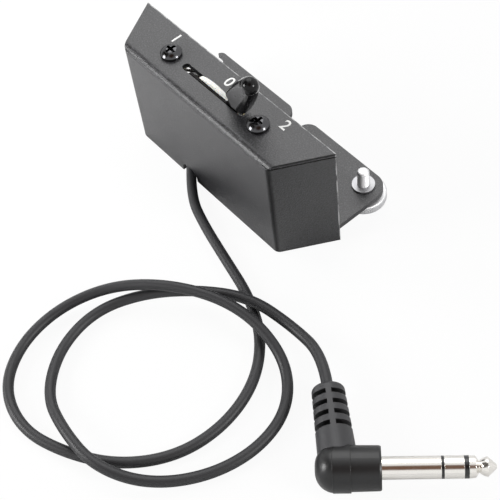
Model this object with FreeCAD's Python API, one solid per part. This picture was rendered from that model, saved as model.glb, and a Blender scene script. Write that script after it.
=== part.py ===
import FreeCAD, Part
import math
import os

# Three-way lever switch in a bent sheet housing, with its bracket, its lead and a jack plug.
# Millimetres. +X points to the fast end, +Y to the open back and +Z up. The design frame has its
# origin on the cover's back plane, halfway along, at the lower rim. The last step moves every
# piece so that the housing stands on z = 0 with its box centred on the origin.

V = FreeCAD.Vector
X_AXIS = V(1, 0, 0)
Y_AXIS = V(0, 1, 0)
Z_AXIS = V(0, 0, 1)

# Cover
COVER_BACK_LENGTH = 91.0
COVER_FRONT_LENGTH = 70.5
COVER_DEPTH = 18.0
COVER_HEIGHT = 42.5
COVER_SHEET = 1.2
COVER_BEND_RADIUS = 2.5
SEAM_GAP = 0.3
SLOT_LENGTH = 29.6
SLOT_WIDTH = 2.7
SLOT_OFF_CENTRE = 0.2
CORD_NOTCH_X = -9.2
CORD_NOTCH_WIDTH = 7.4
CORD_NOTCH_HEIGHT = 4.1
CORD_NOTCH_CORNER = 2.6

# Panel screws
PANEL_SCREW_SPACING = 42.4
PANEL_SCREW_RADIUS = 1.75
PANEL_SCREW_LENGTH = 6.0
PANEL_HEAD_RADIUS = 3.5
PANEL_HEAD_HEIGHT = 2.4
PANEL_HEAD_EDGE = 1.0
RECESS_LENGTH = 3.8
RECESS_WIDTH = 1.0
RECESS_DEPTH = 1.5
SCREW_CLEARANCE = 0.25
THREAD_CLEARANCE = 0.02

# Mounting bracket
BRACKET_SHEET = 2.0
BRACKET_TOP = 7.9
BRACKET_BACK = 22.3
BRACKET_LEFT_INSET = 5.3
BRACKET_REACH = 12.0
BRACKET_CORNER = 6.0
BRACKET_SEAT_GAP = 0.05
HOOK_RADIUS = 4.05
HOOK_INSET = 1.3
HOOK_EDGE = 5.7
HOOK_CORNER = 1.9
NOTCH_X = 3.0
NOTCH_WIDTH = 6.0
NOTCH_DEPTH = 9.0
NOTCH_MOUTH_RADIUS = 4.0
ACCESS_INSET = 18.5
ACCESS_BACK = -2.6
ACCESS_CORNER = 2.0
EAR_RISE = 12.1
EAR_BACK = -1.5
EAR_CORNER = 2.0

# Captive thumbscrew
THUMB_INSET = 6.5
THUMB_EDGE = 6.0
THUMB_STUD_RADIUS = 2.0
THUMB_STUD_RISE = 7.0
THUMB_HEAD_RADIUS = 7.5
THUMB_HEAD_THICKNESS = 3.4
THUMB_HEAD_EDGE = 0.6
THUMB_COLLAR_RADIUS = 4.2
THUMB_COLLAR_HEIGHT = 0.7
THUMB_PLAY = 0.1
THUMB_GROOVE_RADIUS = 1.7
THUMB_TIP_CHAMFER = 0.5
RETAINER_RADIUS = 3.75
RETAINER_THICKNESS = 0.7
STUD_CLEARANCE = 0.1

# Switch frame
FRAME_SHEET = 1.2
FRAME_GAP = 9.0
FRAME_HALF_WIDTH = 14.0
FRAME_DEPTH = 33.0
FRAME_BEND = 1.6
FRAME_CORNER = 5.0
EAR_OVERHANG = 5.5
EAR_ROUNDING = 2.5
FRAME_SLOT_MARGIN = 0.2
WINDOW_HALF_WIDTH = 11.5
WINDOW_TOP_DEPTH = 3.3
WINDOW_HEIGHT = 7.2
WINDOW_CORNER = 1.0

# Lever, turning on the pivot pin
PIVOT_DEPTH = 16.4
PIN_RADIUS = 1.5
PIN_HEAD_RADIUS = 2.6
PIN_HEAD_HEIGHT = 0.8
PIN_TAIL = 1.3
PIN_GROOVE_RADIUS = 1.2
PIN_FIT = 0.03
PIVOT_FIT = 0.05
CLIP_RADIUS = 3.0
CLIP_THICKNESS = 0.6
CLIP_GAP = 0.05
LEVER_TRAVEL = 31.0
DISC_RADIUS = 17.7
DISC_THICKNESS = 1.35
DISC_HALF_ANGLE = 60.0
DISC_CORNER = 2.0
DISC_BACK_GAP = 0.2
HUB_RADIUS = 3.8
HUB_END_GAP = 0.2
CAM_RADIUS = 7.5
CAM_THICKNESS = 2.5
CAM_END_GAP = 0.2
CAM_HALF_ANGLE = 55.0
NOSE_RADIUS = 1.1
NOSE_CENTRE_OUT = 0.35
NOSE_GAP = 0.05
TAIL_RADIUS = 10.4
TAIL_HALF_ANGLE = 8.5
TAIL_THICKNESS = 2.5
ARM_THICKNESS = 0.85
ARM_WIDTH = 4.7
ARM_START = 5.2
ARM_END = 34.0
ARM_CORNER = 1.0
ARM_CLEARANCE = 0.05
FAN_REACH = 11.3
FAN_END = 4.0
FAN_TOP_GAP = 0.1
FAN_CORNER = 0.8
RIVET_RADIUS = 0.9
RIVET_HEAD_RADIUS = 1.6
RIVET_HEAD_HEIGHT = 0.5
ARM_RIVETS = (7.5, 11.6)
KNOB_BASE = 22.2
KNOB_SECTIONS = ((-1.0, 4.4, 2.1, 1.1), (5.0, 4.25, 2.3, 1.3), (11.5, 3.7, 2.5, 1.7), (15.5, 2.85, 2.7, 2.2))
KNOB_TIP_AT = 15.4
KNOB_TIP_RADIUS = 2.78

# Detent leaf
LEAF_THICKNESS = 0.35
LEAF_WIDTH = 2.4
LEAF_LEFT = -12.5
LEAF_RIGHT = 5.0
LEAF_DROP = 0.6
FOOT_WIDTH = 4.5
FOOT_HEIGHT = 6.6
DETENT_RIVET_X = -10.2
DETENT_RIVET_RISE = 3.6

# Contacts
BLADE_THICKNESS = 0.3
BLADE_WIDTH = 2.4
BLADE_INNER_X = 5.55
BLADE_OUTER_X = 9.0
BLADE_TOP_DEPTH = 4.1
BLADE_LENGTH = 26.8
BLADE_DEFLECTION = 1.4
BLADE_BEND_DROP = 1.0
BLADE_BEND_OVER_TAIL = 0.5
CONTACT_RADIUS = 0.8
CONTACT_RISE = 1.1
BLOCK_INNER_X = 4.3
BLOCK_OUTER_X = 10.6
BLOCK_TOP_DEPTH = 11.5
BLOCK_HEIGHT = 6.5
BLOCK_DEPTH = 2.9
BLOCK_SCREW_X = 7.3
BLOCK_SCREW_RADIUS = 1.0
BLOCK_SCREW_DEPTH = 2.2
BLOCK_HEAD_RADIUS = 1.9
BLOCK_HEAD_HEIGHT = 1.2

# Wiring
WIRE_RADIUS = 0.5
WIRE_PITCH = 1.05
WIRE_EAR_GAP = 0.35
WIRE_CHEEK_GAP = 0.7
WIRE_LEVEL_DEPTHS = (9.6, 7.4, 5.2)
WIRE_TURN_RISE = 14.0
WIRE_TURN_BACK = 3.0
WIRE_FAN = 2.0
WIRE_SLOPE_LENGTH = 20.0
WIRE_LEVEL_DROP = 1.5

# Lead: its points lie on the route's corners, chosen to follow the lead as it is laid out
CORD_RADIUS = 1.7
CORD_START_SHARE = 0.728
CORD_ROUTE = (
    V(-1.0, -24.3, 1.8),
    V(11.5, -28.6, 1.8),
    V(27.0, -32.3, 1.8),
    V(43.0, -36.0, 1.8),
    V(57.0, -42.8, 1.8),
    V(67.5, -54.5, 1.8),
    V(72.2, -70.0, 1.8),
    V(70.5, -86.0, 1.8),
    V(61.5, -100.0, 1.8),
    V(48.0, -109.3, 1.8),
    V(32.5, -114.8, 1.8),
    V(17.0, -111.0, 1.8),
    V(7.5, -98.5, 1.8),
    V(5.3, -82.5, 2.6),
    V(11.5, -67.0, 5.6),
    V(24.3, -55.5, 9.2),
    V(40.0, -46.2, 10.0),
    V(55.0, -42.3, 8.2),
    V(70.0, -43.8, 3.4),
    V(81.0, -53.5, 1.8),
    V(84.6, -68.5, 1.8),
    V(81.0, -84.5, 1.8),
    V(71.5, -98.5, 2.8),
    V(58.5, -106.5, 6.0),
    V(43.0, -106.3, 5.4),
    V(28.0, -102.8, 1.9),
    V(17.2, -90.5, 1.8),
    V(13.7, -74.5, 2.0),
    V(20.3, -59.8, 3.8),
    V(32.5, -47.2, 6.0),
    V(46.0, -37.5, 6.2),
    V(61.5, -34.2, 4.0),
)
CORD_LAST_RUN = 11.0
LEAD_IN_TURN_PAST_NOTCH = 5.4
LEAD_IN_TURN_PAST_FRONT = 5.1
LEAD_IN_TURN_GAP = 0.5
LEAD_IN_SHARES = V(0.58, 0.755, 0.507)
LEAD_IN_Y = -8.0
LEAD_IN_RUN = 8.5
LEAD_IN_EAR_GAP = 3.7
LEAD_IN_GAP = 0.1
CORD_ARC_SHARE = 0.45

# Cord clamp on the bracket
CLAMP_LENGTH = 4.6
CLAMP_END_GAP = 1.0
CLAMP_WALL = 1.0
CLAMP_GAP = 0.05
CLAMP_FOOT_BACK = -0.4
CLAMP_SCREW_Y = -2.7
CLAMP_SCREW_RADIUS = 1.25
CLAMP_HEAD_RADIUS = 2.2
CLAMP_HEAD_HEIGHT = 1.5
CLAMP_NUT_RADIUS = 2.6
CLAMP_NUT_HEIGHT = 1.8
CLAMP_SCREW_END = 0.4

# Plug, lying on its side
PLUG_FACE_X = 114.2
PLUG_FACE_Y = -47.9
PLUG_FLOOR_GAP = 0.1
PLUG_HEADING = 48.2
SHAFT_RADIUS = 3.175
SLEEVE_END = 16.2
FIRST_INSULATOR_END = 17.0
RING_END = 22.4
SECOND_INSULATOR_END = 23.7
SHOULDER_END = 25.5
NECK_AT = 26.5
NECK_RADIUS = 1.6
BALL_AT = 28.8
BALL_RADIUS = 2.8
TIP_END = 31.2
TIP_POINT_RADIUS = 0.6
TIP_EDGE = 0.3
BODY_LENGTH = 18.2
BODY_BAND_RADIUS = 6.75
BODY_BAND_START = 8.4
BODY_BAND_END = 13.4
BODY_NECK_RADIUS = 6.4
BODY_FACE_RADIUS = 6.0
BODY_EDGE = 0.5
BODY_DOME_RADIUS = 6.6
ELBOW_BACK = 11.6
BOOT_LEAN = 6.5
BOOT_REACH = 25.6
BOOT_ROOT_RADIUS = 5.7
BOOT_END_RADIUS = 4.8
BOOT_END_ROUNDING = 1.4
BOOT_SLOTS = 4
BOOT_SLOT_WIDTH = 1.5
BOOT_SLOT_PITCH = 3.4
BOOT_SLOT_FIRST = 3.4
BOOT_SLOT_FLOOR = 2.7
BOOT_SPINE = 1.6

def half_length(y, inset=0.0):
    """Half the cover's length at a depth y, measured inset into the slanted ends."""
    slant = (COVER_BACK_LENGTH - COVER_FRONT_LENGTH) / 2
    outer = COVER_BACK_LENGTH / 2 + slant * y / COVER_DEPTH
    return outer - inset * math.hypot(1, slant / COVER_DEPTH)


# Places worked out from the sizes above
COVER_INNER_TOP = COVER_HEIGHT - COVER_SHEET
SLOT_Y = -COVER_DEPTH / 2 - SLOT_OFF_CENTRE
PIVOT_Z = COVER_HEIGHT - PIVOT_DEPTH
BRACKET_BOTTOM = BRACKET_TOP - BRACKET_SHEET
BRACKET_LEFT = BRACKET_LEFT_INSET - COVER_BACK_LENGTH / 2
BRACKET_RIGHT = COVER_BACK_LENGTH / 2
HOOK_X = BRACKET_LEFT + HOOK_INSET
HOOK_Y = BRACKET_BACK - HOOK_EDGE
NOTCH_BOTTOM = BRACKET_BACK - NOTCH_DEPTH
ACCESS_HALF_WIDTH = BRACKET_RIGHT - ACCESS_INSET
EAR_TOP = BRACKET_TOP + EAR_RISE
THUMB_X = BRACKET_RIGHT - THUMB_INSET
THUMB_Y = BRACKET_BACK - THUMB_EDGE
FRAME_BOTTOM = COVER_HEIGHT - FRAME_DEPTH
WINDOW_TOP = COVER_HEIGHT - WINDOW_TOP_DEPTH
WINDOW_BOTTOM = WINDOW_TOP - WINDOW_HEIGHT
BLADE_TOP = COVER_HEIGHT - BLADE_TOP_DEPTH
BLADE_BOTTOM = BLADE_TOP - BLADE_LENGTH
CONTACT_HEIGHT = BLADE_BOTTOM + CONTACT_RISE
BLOCK_TOP = COVER_HEIGHT - BLOCK_TOP_DEPTH
BLOCK_BOTTOM = BLOCK_TOP - BLOCK_HEIGHT
BLOCK_SCREW_HEIGHT = (BLOCK_BOTTOM + BLOCK_TOP) / 2
TAIL_CORNER_DROP = TAIL_RADIUS * math.cos(math.radians(LEVER_TRAVEL + TAIL_HALF_ANGLE))
BLADE_BEND_TOP = BLOCK_BOTTOM - BLADE_BEND_DROP
BLADE_BEND_BOTTOM = PIVOT_Z - TAIL_CORNER_DROP + BLADE_BEND_OVER_TAIL
FRONT_CHEEK_INNER = SLOT_Y - FRAME_GAP / 2
FRONT_CHEEK_OUTER = FRONT_CHEEK_INNER - FRAME_SHEET
BACK_CHEEK_INNER = SLOT_Y + FRAME_GAP / 2
BACK_CHEEK_OUTER = BACK_CHEEK_INNER + FRAME_SHEET
LEAD_IN_Z = BRACKET_TOP + CORD_RADIUS + LEAD_IN_GAP
EAR_FACE_X = half_length(LEAD_IN_Y, COVER_SHEET + BRACKET_SEAT_GAP + BRACKET_SHEET)
LEAD_IN_END = LEAD_IN_EAR_GAP - EAR_FACE_X
LEAD_IN_TURN = V(
    CORD_NOTCH_X - LEAD_IN_TURN_PAST_NOTCH,
    LEAD_IN_TURN_PAST_FRONT - COVER_DEPTH,
    CORD_RADIUS + LEAD_IN_TURN_GAP,
)
CORD_START = CORD_ROUTE[0] + (LEAD_IN_TURN - CORD_ROUTE[0]) * CORD_START_SHARE
CLAMP_LEFT = LEAD_IN_END + CLAMP_END_GAP
CLAMP_RIGHT = CLAMP_LEFT + CLAMP_LENGTH
WIRE_BACK = BACK_CHEEK_OUTER + WIRE_CHEEK_GAP + WIRE_RADIUS
PLUG_FACE = V(PLUG_FACE_X, PLUG_FACE_Y, BODY_BAND_RADIUS + PLUG_FLOOR_GAP)
DISC_BACK = SLOT_Y + SLOT_WIDTH / 2 - DISC_BACK_GAP
DISC_FRONT = DISC_BACK - DISC_THICKNESS
ARM_FRONT = DISC_FRONT - ARM_THICKNESS
LEAF_TOP = PIVOT_Z - CAM_RADIUS - NOSE_CENTRE_OUT - LEAF_DROP
CUT_MARGIN = 5.0


def box(low, high):
    """Box between two corners."""
    size = high - low
    return Part.makeBox(size.x, size.y, size.z, low)


def rod(radius, start, end):
    """Cylinder from one point to another."""
    return Part.makeCylinder(radius, (end - start).Length, start, end - start)


def corner_arc(before, corner, after, radius):
    """Start, middle and end of the tangent arc that rounds a corner."""
    back = (before - corner).normalize()
    ahead = (after - corner).normalize()
    half_turn = (math.pi - back.getAngle(ahead)) / 2
    reach = radius * math.tan(half_turn)
    inward = (back + ahead).normalize()
    middle = corner + inward * (radius / math.cos(half_turn) - radius)
    return corner + back * reach, middle, corner + ahead * reach


def rounded_face(corners):
    """Flat face from (point, corner radius) pairs in order."""
    edges = []
    ends = []
    count = len(corners)
    for index, (corner, radius) in enumerate(corners):
        if radius == 0:
            ends.append((corner, corner))
            continue
        before = corners[index - 1][0]
        after = corners[(index + 1) % count][0]
        start, middle, end = corner_arc(before, corner, after, radius)
        edges.append(Part.Arc(start, middle, end).toShape())
        ends.append((start, end))
    for index in range(count):
        leaving = ends[index][1]
        arriving = ends[(index + 1) % count][0]
        if leaving.distanceToPoint(arriving) > 1e-6:
            edges.append(Part.makeLine(leaving, arriving))
    return Part.Face(Part.Wire(Part.__sortEdges__(edges)))


def revolved(profile, origin, axis):
    """Solid of revolution from edges or points that start and end on the axis."""
    return Part.Face(Part.Wire(profile)).revolve(origin, axis, 360)


def turned(points, origin, axis):
    """Turned solid from (along, radius) points, with its axis through origin."""
    across = X_AXIS if abs(axis.x) < 0.5 else Z_AXIS
    across = (across - axis * across.dot(axis)).normalize()
    corners = [origin + axis * along + across * radius for along, radius in points]
    first = origin + axis * points[0][0]
    last = origin + axis * points[-1][0]
    outline = [first] + corners + [last, first]
    kept = [outline[0]]
    for point in outline[1:]:
        if point.distanceToPoint(kept[-1]) > 1e-6:
            kept.append(point)
    return Part.Face(Part.makePolygon(kept)).revolve(origin, axis, 360)


def tube(points, radius, label):
    """Round tube along straight runs joined by tangent arcs, with its tightest bend printed."""
    edges = []
    leaving = points[0]
    radii = []
    for before, corner, after in zip(points, points[1:], points[2:]):
        shorter = min(before.distanceToPoint(corner), corner.distanceToPoint(after))
        half_turn = (math.pi - (before - corner).getAngle(after - corner)) / 2
        bend = CORD_ARC_SHARE * shorter / math.tan(half_turn)
        start, middle, end = corner_arc(before, corner, after, bend)
        edges.append(Part.makeLine(leaving, start))
        edges.append(Part.Arc(start, middle, end).toShape())
        leaving = end
        radii.append(bend)
    edges.append(Part.makeLine(leaving, points[-1]))
    path = Part.Wire(edges)
    section = Part.Wire(Part.makeCircle(radius, points[0], points[1] - points[0]))
    shape = path.makePipeShell([section], True, False)
    expected = math.pi * radius ** 2 * path.Length
    print(label, "length", round(path.Length, 1), "least bend", round(min(radii), 1),
          "most", round(max(radii), 1), "volume share", round(shape.Volume / expected, 4))
    return shape


def cover_block(inset, back, bottom):
    """The cover's outline as a solid: its plan crossed with its side profile."""
    front = -COVER_DEPTH + inset
    top = COVER_HEIGHT - inset
    radius = COVER_BEND_RADIUS - inset
    plan = rounded_face([
        (V(-half_length(back, inset), back, bottom), 0),
        (V(-half_length(front, inset), front, bottom), radius),
        (V(half_length(front, inset), front, bottom), radius),
        (V(half_length(back, inset), back, bottom), 0),
    ])
    reach = COVER_BACK_LENGTH
    side = rounded_face([
        (V(-reach, back, bottom), 0),
        (V(-reach, front, bottom), 0),
        (V(-reach, front, top), radius),
        (V(-reach, back, top), 0),
    ])
    return plan.extrude(V(0, 0, top - bottom)).common(side.extrude(V(2 * reach, 0, 0)))


def make_cover():
    """Bent sheet, open at the back and below, with its slot, screw holes and cord notch."""
    cover = cover_block(0, 0, 0).cut(cover_block(COVER_SHEET, CUT_MARGIN, -CUT_MARGIN))
    for side in (-1, 1):
        seam_start = side * (COVER_FRONT_LENGTH / 2 - COVER_BEND_RADIUS)
        seam_end = side * COVER_BACK_LENGTH
        cover = cover.cut(box(
            V(min(seam_start, seam_end), -COVER_DEPTH, COVER_INNER_TOP - SEAM_GAP),
            V(max(seam_start, seam_end), CUT_MARGIN, COVER_INNER_TOP),
        ))
    slot = rounded_face([
        (V(side_x * SLOT_LENGTH / 2, SLOT_Y + side_y * SLOT_WIDTH / 2, COVER_INNER_TOP - 1), SLOT_WIDTH / 2.001)
        for side_x, side_y in ((-1, -1), (1, -1), (1, 1), (-1, 1))
    ])
    cover = cover.cut(slot.extrude(Z_AXIS * CUT_MARGIN))
    for side in (-1, 1):
        hole = V(side * PANEL_SCREW_SPACING / 2, SLOT_Y, COVER_INNER_TOP - CUT_MARGIN)
        cover = cover.cut(rod(PANEL_SCREW_RADIUS + SCREW_CLEARANCE, hole, hole + Z_AXIS * 2 * CUT_MARGIN))
    left = CORD_NOTCH_X - CORD_NOTCH_WIDTH / 2
    right = CORD_NOTCH_X + CORD_NOTCH_WIDTH / 2
    front = -COVER_DEPTH - 1
    notch = rounded_face([
        (V(left, front, -1), 0),
        (V(right, front, -1), 0),
        (V(right, front, CORD_NOTCH_HEIGHT), CORD_NOTCH_CORNER),
        (V(left, front, CORD_NOTCH_HEIGHT), CORD_NOTCH_CORNER),
    ])
    return cover.cut(notch.extrude(Y_AXIS * (COVER_SHEET + 2)))


def make_bracket():
    """Plate with its hook slot, notch and access cut-out, and an ear up each end wall."""
    wall = COVER_SHEET + BRACKET_SEAT_GAP
    front = -BRACKET_REACH
    z = BRACKET_BOTTOM
    outline = [
        (V(BRACKET_LEFT, BRACKET_BACK, z), HOOK_CORNER),
        (V(NOTCH_X - NOTCH_WIDTH / 2, BRACKET_BACK, z), NOTCH_MOUTH_RADIUS),
        (V(NOTCH_X - NOTCH_WIDTH / 2, NOTCH_BOTTOM, z), NOTCH_WIDTH / 2.001),
        (V(NOTCH_X + NOTCH_WIDTH / 2, NOTCH_BOTTOM, z), NOTCH_WIDTH / 2.001),
        (V(NOTCH_X + NOTCH_WIDTH / 2, BRACKET_BACK, z), NOTCH_MOUTH_RADIUS),
        (V(BRACKET_RIGHT, BRACKET_BACK, z), BRACKET_CORNER),
        (V(BRACKET_RIGHT, BRACKET_SEAT_GAP, z), 0),
        (V(half_length(BRACKET_SEAT_GAP, wall), BRACKET_SEAT_GAP, z), 0),
        (V(half_length(front, wall), front, z), 0),
        (V(ACCESS_HALF_WIDTH, front, z), ACCESS_CORNER),
        (V(ACCESS_HALF_WIDTH, ACCESS_BACK, z), ACCESS_CORNER),
        (V(-ACCESS_HALF_WIDTH, ACCESS_BACK, z), ACCESS_CORNER),
        (V(-ACCESS_HALF_WIDTH, front, z), ACCESS_CORNER),
        (V(-half_length(front, wall), front, z), 0),
        (V(-half_length(BRACKET_SEAT_GAP, wall), BRACKET_SEAT_GAP, z), 0),
        (V(BRACKET_LEFT, BRACKET_SEAT_GAP, z), 0),
    ]
    bracket = rounded_face(outline).extrude(Z_AXIS * BRACKET_SHEET)
    below = z - 1
    through = BRACKET_SHEET + 2
    hook = V(HOOK_X, HOOK_Y, below)
    bracket = bracket.cut(rod(HOOK_RADIUS, hook, hook + Z_AXIS * through))
    bracket = bracket.cut(box(
        V(HOOK_X - 2 * HOOK_RADIUS, HOOK_Y - HOOK_RADIUS, below),
        V(HOOK_X, HOOK_Y + HOOK_RADIUS, below + through),
    ))
    stud = V(THUMB_X, THUMB_Y, below)
    bracket = bracket.cut(rod(THUMB_STUD_RADIUS + STUD_CLEARANCE, stud, stud + Z_AXIS * through))
    screw = V((CLAMP_LEFT + CLAMP_RIGHT) / 2, CLAMP_SCREW_Y, below)
    bracket = bracket.cut(rod(CLAMP_SCREW_RADIUS + STUD_CLEARANCE, screw, screw + Z_AXIS * through))
    for side in (-1, 1):
        bracket = bracket.fuse(make_ear(side, wall, front))
    return bracket.removeSplitter()


def make_ear(side, wall, front):
    """Upturned ear, parallel to the slanted end wall that it is welded to."""
    inner = wall + BRACKET_SHEET
    plan = rounded_face([
        (V(side * half_length(front, wall), front, BRACKET_BOTTOM), 0),
        (V(side * half_length(EAR_BACK, wall), EAR_BACK, BRACKET_BOTTOM), 0),
        (V(side * half_length(EAR_BACK, inner), EAR_BACK, BRACKET_BOTTOM), 0),
        (V(side * half_length(front, inner), front, BRACKET_BOTTOM), 0),
    ])
    x = -COVER_BACK_LENGTH
    profile = rounded_face([
        (V(x, front, BRACKET_BOTTOM), 0),
        (V(x, EAR_BACK, BRACKET_BOTTOM), 0),
        (V(x, EAR_BACK, EAR_TOP), EAR_CORNER),
        (V(x, front, EAR_TOP), EAR_CORNER),
    ])
    tall = plan.extrude(Z_AXIS * (EAR_TOP - BRACKET_BOTTOM))
    return tall.common(profile.extrude(X_AXIS * 2 * COVER_BACK_LENGTH))


def make_panel_screws():
    """Two pan-head screws with cross recesses, as separate solids."""
    screws = []
    for side in (-1, 1):
        seat = V(side * PANEL_SCREW_SPACING / 2, SLOT_Y, COVER_HEIGHT)
        shank = rod(PANEL_SCREW_RADIUS, seat - Z_AXIS * PANEL_SCREW_LENGTH, seat)
        rim = seat + V(PANEL_HEAD_RADIUS, 0, 0)
        shoulder = rim + Z_AXIS * PANEL_HEAD_EDGE
        crown = seat + Z_AXIS * PANEL_HEAD_HEIGHT
        bulge = seat + V(PANEL_HEAD_RADIUS * 0.66, 0, PANEL_HEAD_EDGE + (PANEL_HEAD_HEIGHT - PANEL_HEAD_EDGE) * 0.78)
        head = revolved([
            Part.makeLine(seat, rim),
            Part.makeLine(rim, shoulder),
            Part.Arc(shoulder, bulge, crown).toShape(),
            Part.makeLine(crown, seat),
        ], seat, Z_AXIS)
        screw = shank.fuse(head)
        for length, width in ((RECESS_LENGTH, RECESS_WIDTH), (RECESS_WIDTH, RECESS_LENGTH)):
            screw = screw.cut(box(
                crown + V(-length / 2, -width / 2, -RECESS_DEPTH),
                crown + V(length / 2, width / 2, 1),
            ))
        screws.append(screw)
    return Part.makeCompound(screws)


def make_thumbscrew():
    """Captive thumbscrew: head under the bracket, grooved stud above it."""
    retainer_low = BRACKET_TOP + THUMB_PLAY
    retainer_high = retainer_low + RETAINER_THICKNESS
    collar_top = BRACKET_BOTTOM - THUMB_PLAY
    head_top = collar_top - THUMB_COLLAR_HEIGHT
    head_bottom = head_top - THUMB_HEAD_THICKNESS
    stud_top = BRACKET_TOP + THUMB_STUD_RISE
    axis = V(THUMB_X, THUMB_Y, 0)
    screw = turned([
        (head_bottom, THUMB_HEAD_RADIUS - THUMB_HEAD_EDGE),
        (head_bottom + THUMB_HEAD_EDGE, THUMB_HEAD_RADIUS),
        (head_top - THUMB_HEAD_EDGE / 2, THUMB_HEAD_RADIUS),
        (head_top, THUMB_HEAD_RADIUS - THUMB_HEAD_EDGE / 2),
        (head_top, THUMB_COLLAR_RADIUS),
        (collar_top, THUMB_COLLAR_RADIUS),
        (collar_top, THUMB_STUD_RADIUS),
        (retainer_low, THUMB_STUD_RADIUS),
        (retainer_low, THUMB_GROOVE_RADIUS),
        (retainer_high, THUMB_GROOVE_RADIUS),
        (retainer_high, THUMB_STUD_RADIUS),
        (stud_top - THUMB_TIP_CHAMFER, THUMB_STUD_RADIUS),
        (stud_top, THUMB_STUD_RADIUS - THUMB_TIP_CHAMFER),
    ], axis, Z_AXIS)
    ring = rod(RETAINER_RADIUS, axis + Z_AXIS * retainer_low, axis + Z_AXIS * retainer_high)
    ring = ring.cut(rod(THUMB_GROOVE_RADIUS, axis, axis + Z_AXIS * COVER_HEIGHT))
    return screw, ring


def make_frame():
    """Bent steel frame: a strap under the cover's top with a cheek hanging from each long edge."""
    top = COVER_INNER_TOP
    left = -FRAME_HALF_WIDTH
    outer = rounded_face([
        (V(left, FRONT_CHEEK_OUTER, FRAME_BOTTOM), 0),
        (V(left, BACK_CHEEK_OUTER, FRAME_BOTTOM), 0),
        (V(left, BACK_CHEEK_OUTER, top), FRAME_BEND),
        (V(left, FRONT_CHEEK_OUTER, top), FRAME_BEND),
    ]).extrude(X_AXIS * 2 * FRAME_HALF_WIDTH)
    inner_radius = FRAME_BEND - FRAME_SHEET
    inner = rounded_face([
        (V(left - 1, FRONT_CHEEK_INNER, FRAME_BOTTOM - 1), 0),
        (V(left - 1, BACK_CHEEK_INNER, FRAME_BOTTOM - 1), 0),
        (V(left - 1, BACK_CHEEK_INNER, top - FRAME_SHEET), inner_radius),
        (V(left - 1, FRONT_CHEEK_INNER, top - FRAME_SHEET), inner_radius),
    ]).extrude(X_AXIS * (2 * FRAME_HALF_WIDTH + 2))
    cheek = rounded_face([
        (V(left, FRONT_CHEEK_OUTER, FRAME_BOTTOM), FRAME_CORNER),
        (V(-left, FRONT_CHEEK_OUTER, FRAME_BOTTOM), FRAME_CORNER),
        (V(-left, FRONT_CHEEK_OUTER, top), 0),
        (V(left, FRONT_CHEEK_OUTER, top), 0),
    ]).extrude(Y_AXIS * (BACK_CHEEK_OUTER - FRONT_CHEEK_OUTER))
    frame = outer.cut(inner).common(cheek)
    ear_x = PANEL_SCREW_SPACING / 2 + EAR_OVERHANG
    strap = rounded_face([
        (V(-ear_x, FRONT_CHEEK_OUTER + FRAME_BEND, top - FRAME_SHEET), EAR_ROUNDING),
        (V(ear_x, FRONT_CHEEK_OUTER + FRAME_BEND, top - FRAME_SHEET), EAR_ROUNDING),
        (V(ear_x, BACK_CHEEK_OUTER - FRAME_BEND, top - FRAME_SHEET), EAR_ROUNDING),
        (V(-ear_x, BACK_CHEEK_OUTER - FRAME_BEND, top - FRAME_SHEET), EAR_ROUNDING),
    ]).extrude(Z_AXIS * FRAME_SHEET)
    frame = frame.fuse(strap)
    slot_half = SLOT_LENGTH / 2 + FRAME_SLOT_MARGIN
    slot_side = SLOT_WIDTH / 2 + FRAME_SLOT_MARGIN
    frame = frame.cut(box(
        V(-slot_half, SLOT_Y - slot_side, top - CUT_MARGIN),
        V(slot_half, SLOT_Y + slot_side, top + 1),
    ))
    for side in (-1, 1):
        tapped = V(side * PANEL_SCREW_SPACING / 2, SLOT_Y, top - CUT_MARGIN)
        frame = frame.cut(rod(PANEL_SCREW_RADIUS + THREAD_CLEARANCE, tapped, tapped + Z_AXIS * 2 * CUT_MARGIN))
        block_screw = V(side * BLOCK_SCREW_X, SLOT_Y, BLOCK_SCREW_HEIGHT)
        frame = frame.cut(rod(
            BLOCK_SCREW_RADIUS + THREAD_CLEARANCE, block_screw, block_screw + Y_AXIS * COVER_DEPTH))
    pivot = V(0, -COVER_DEPTH, PIVOT_Z)
    frame = frame.cut(rod(PIN_RADIUS + PIN_FIT, pivot, pivot + Y_AXIS * COVER_DEPTH))
    rivet = V(DETENT_RIVET_X, -COVER_DEPTH, LEAF_TOP + DETENT_RIVET_RISE)
    frame = frame.cut(rod(RIVET_RADIUS + THREAD_CLEARANCE, rivet, rivet + Y_AXIS * (COVER_DEPTH + SLOT_Y)))
    window = rounded_face([
        (V(side_x * WINDOW_HALF_WIDTH, SLOT_Y, height), WINDOW_CORNER)
        for side_x, height in ((-1, WINDOW_BOTTOM), (1, WINDOW_BOTTOM), (1, WINDOW_TOP), (-1, WINDOW_TOP))
    ])
    return frame.cut(window.extrude(Y_AXIS * COVER_DEPTH)).removeSplitter()


def make_pivot():
    """Pivot pin with its head in front, and the clip in its groove behind."""
    clip_front = BACK_CHEEK_OUTER + CLIP_GAP
    clip_back = clip_front + CLIP_THICKNESS
    pin = turned([
        (FRONT_CHEEK_OUTER - PIN_HEAD_HEIGHT, PIN_HEAD_RADIUS),
        (FRONT_CHEEK_OUTER, PIN_HEAD_RADIUS),
        (FRONT_CHEEK_OUTER, PIN_RADIUS),
        (clip_front, PIN_RADIUS),
        (clip_front, PIN_GROOVE_RADIUS),
        (clip_back, PIN_GROOVE_RADIUS),
        (clip_back, PIN_RADIUS),
        (BACK_CHEEK_OUTER + PIN_TAIL, PIN_RADIUS),
    ], V(0, 0, PIVOT_Z), Y_AXIS)
    front = V(0, clip_front, PIVOT_Z)
    back = V(0, clip_back, PIVOT_Z)
    clip = rod(CLIP_RADIUS, front, back).cut(rod(PIN_GROOVE_RADIUS, front, back))
    return pin, clip


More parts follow.
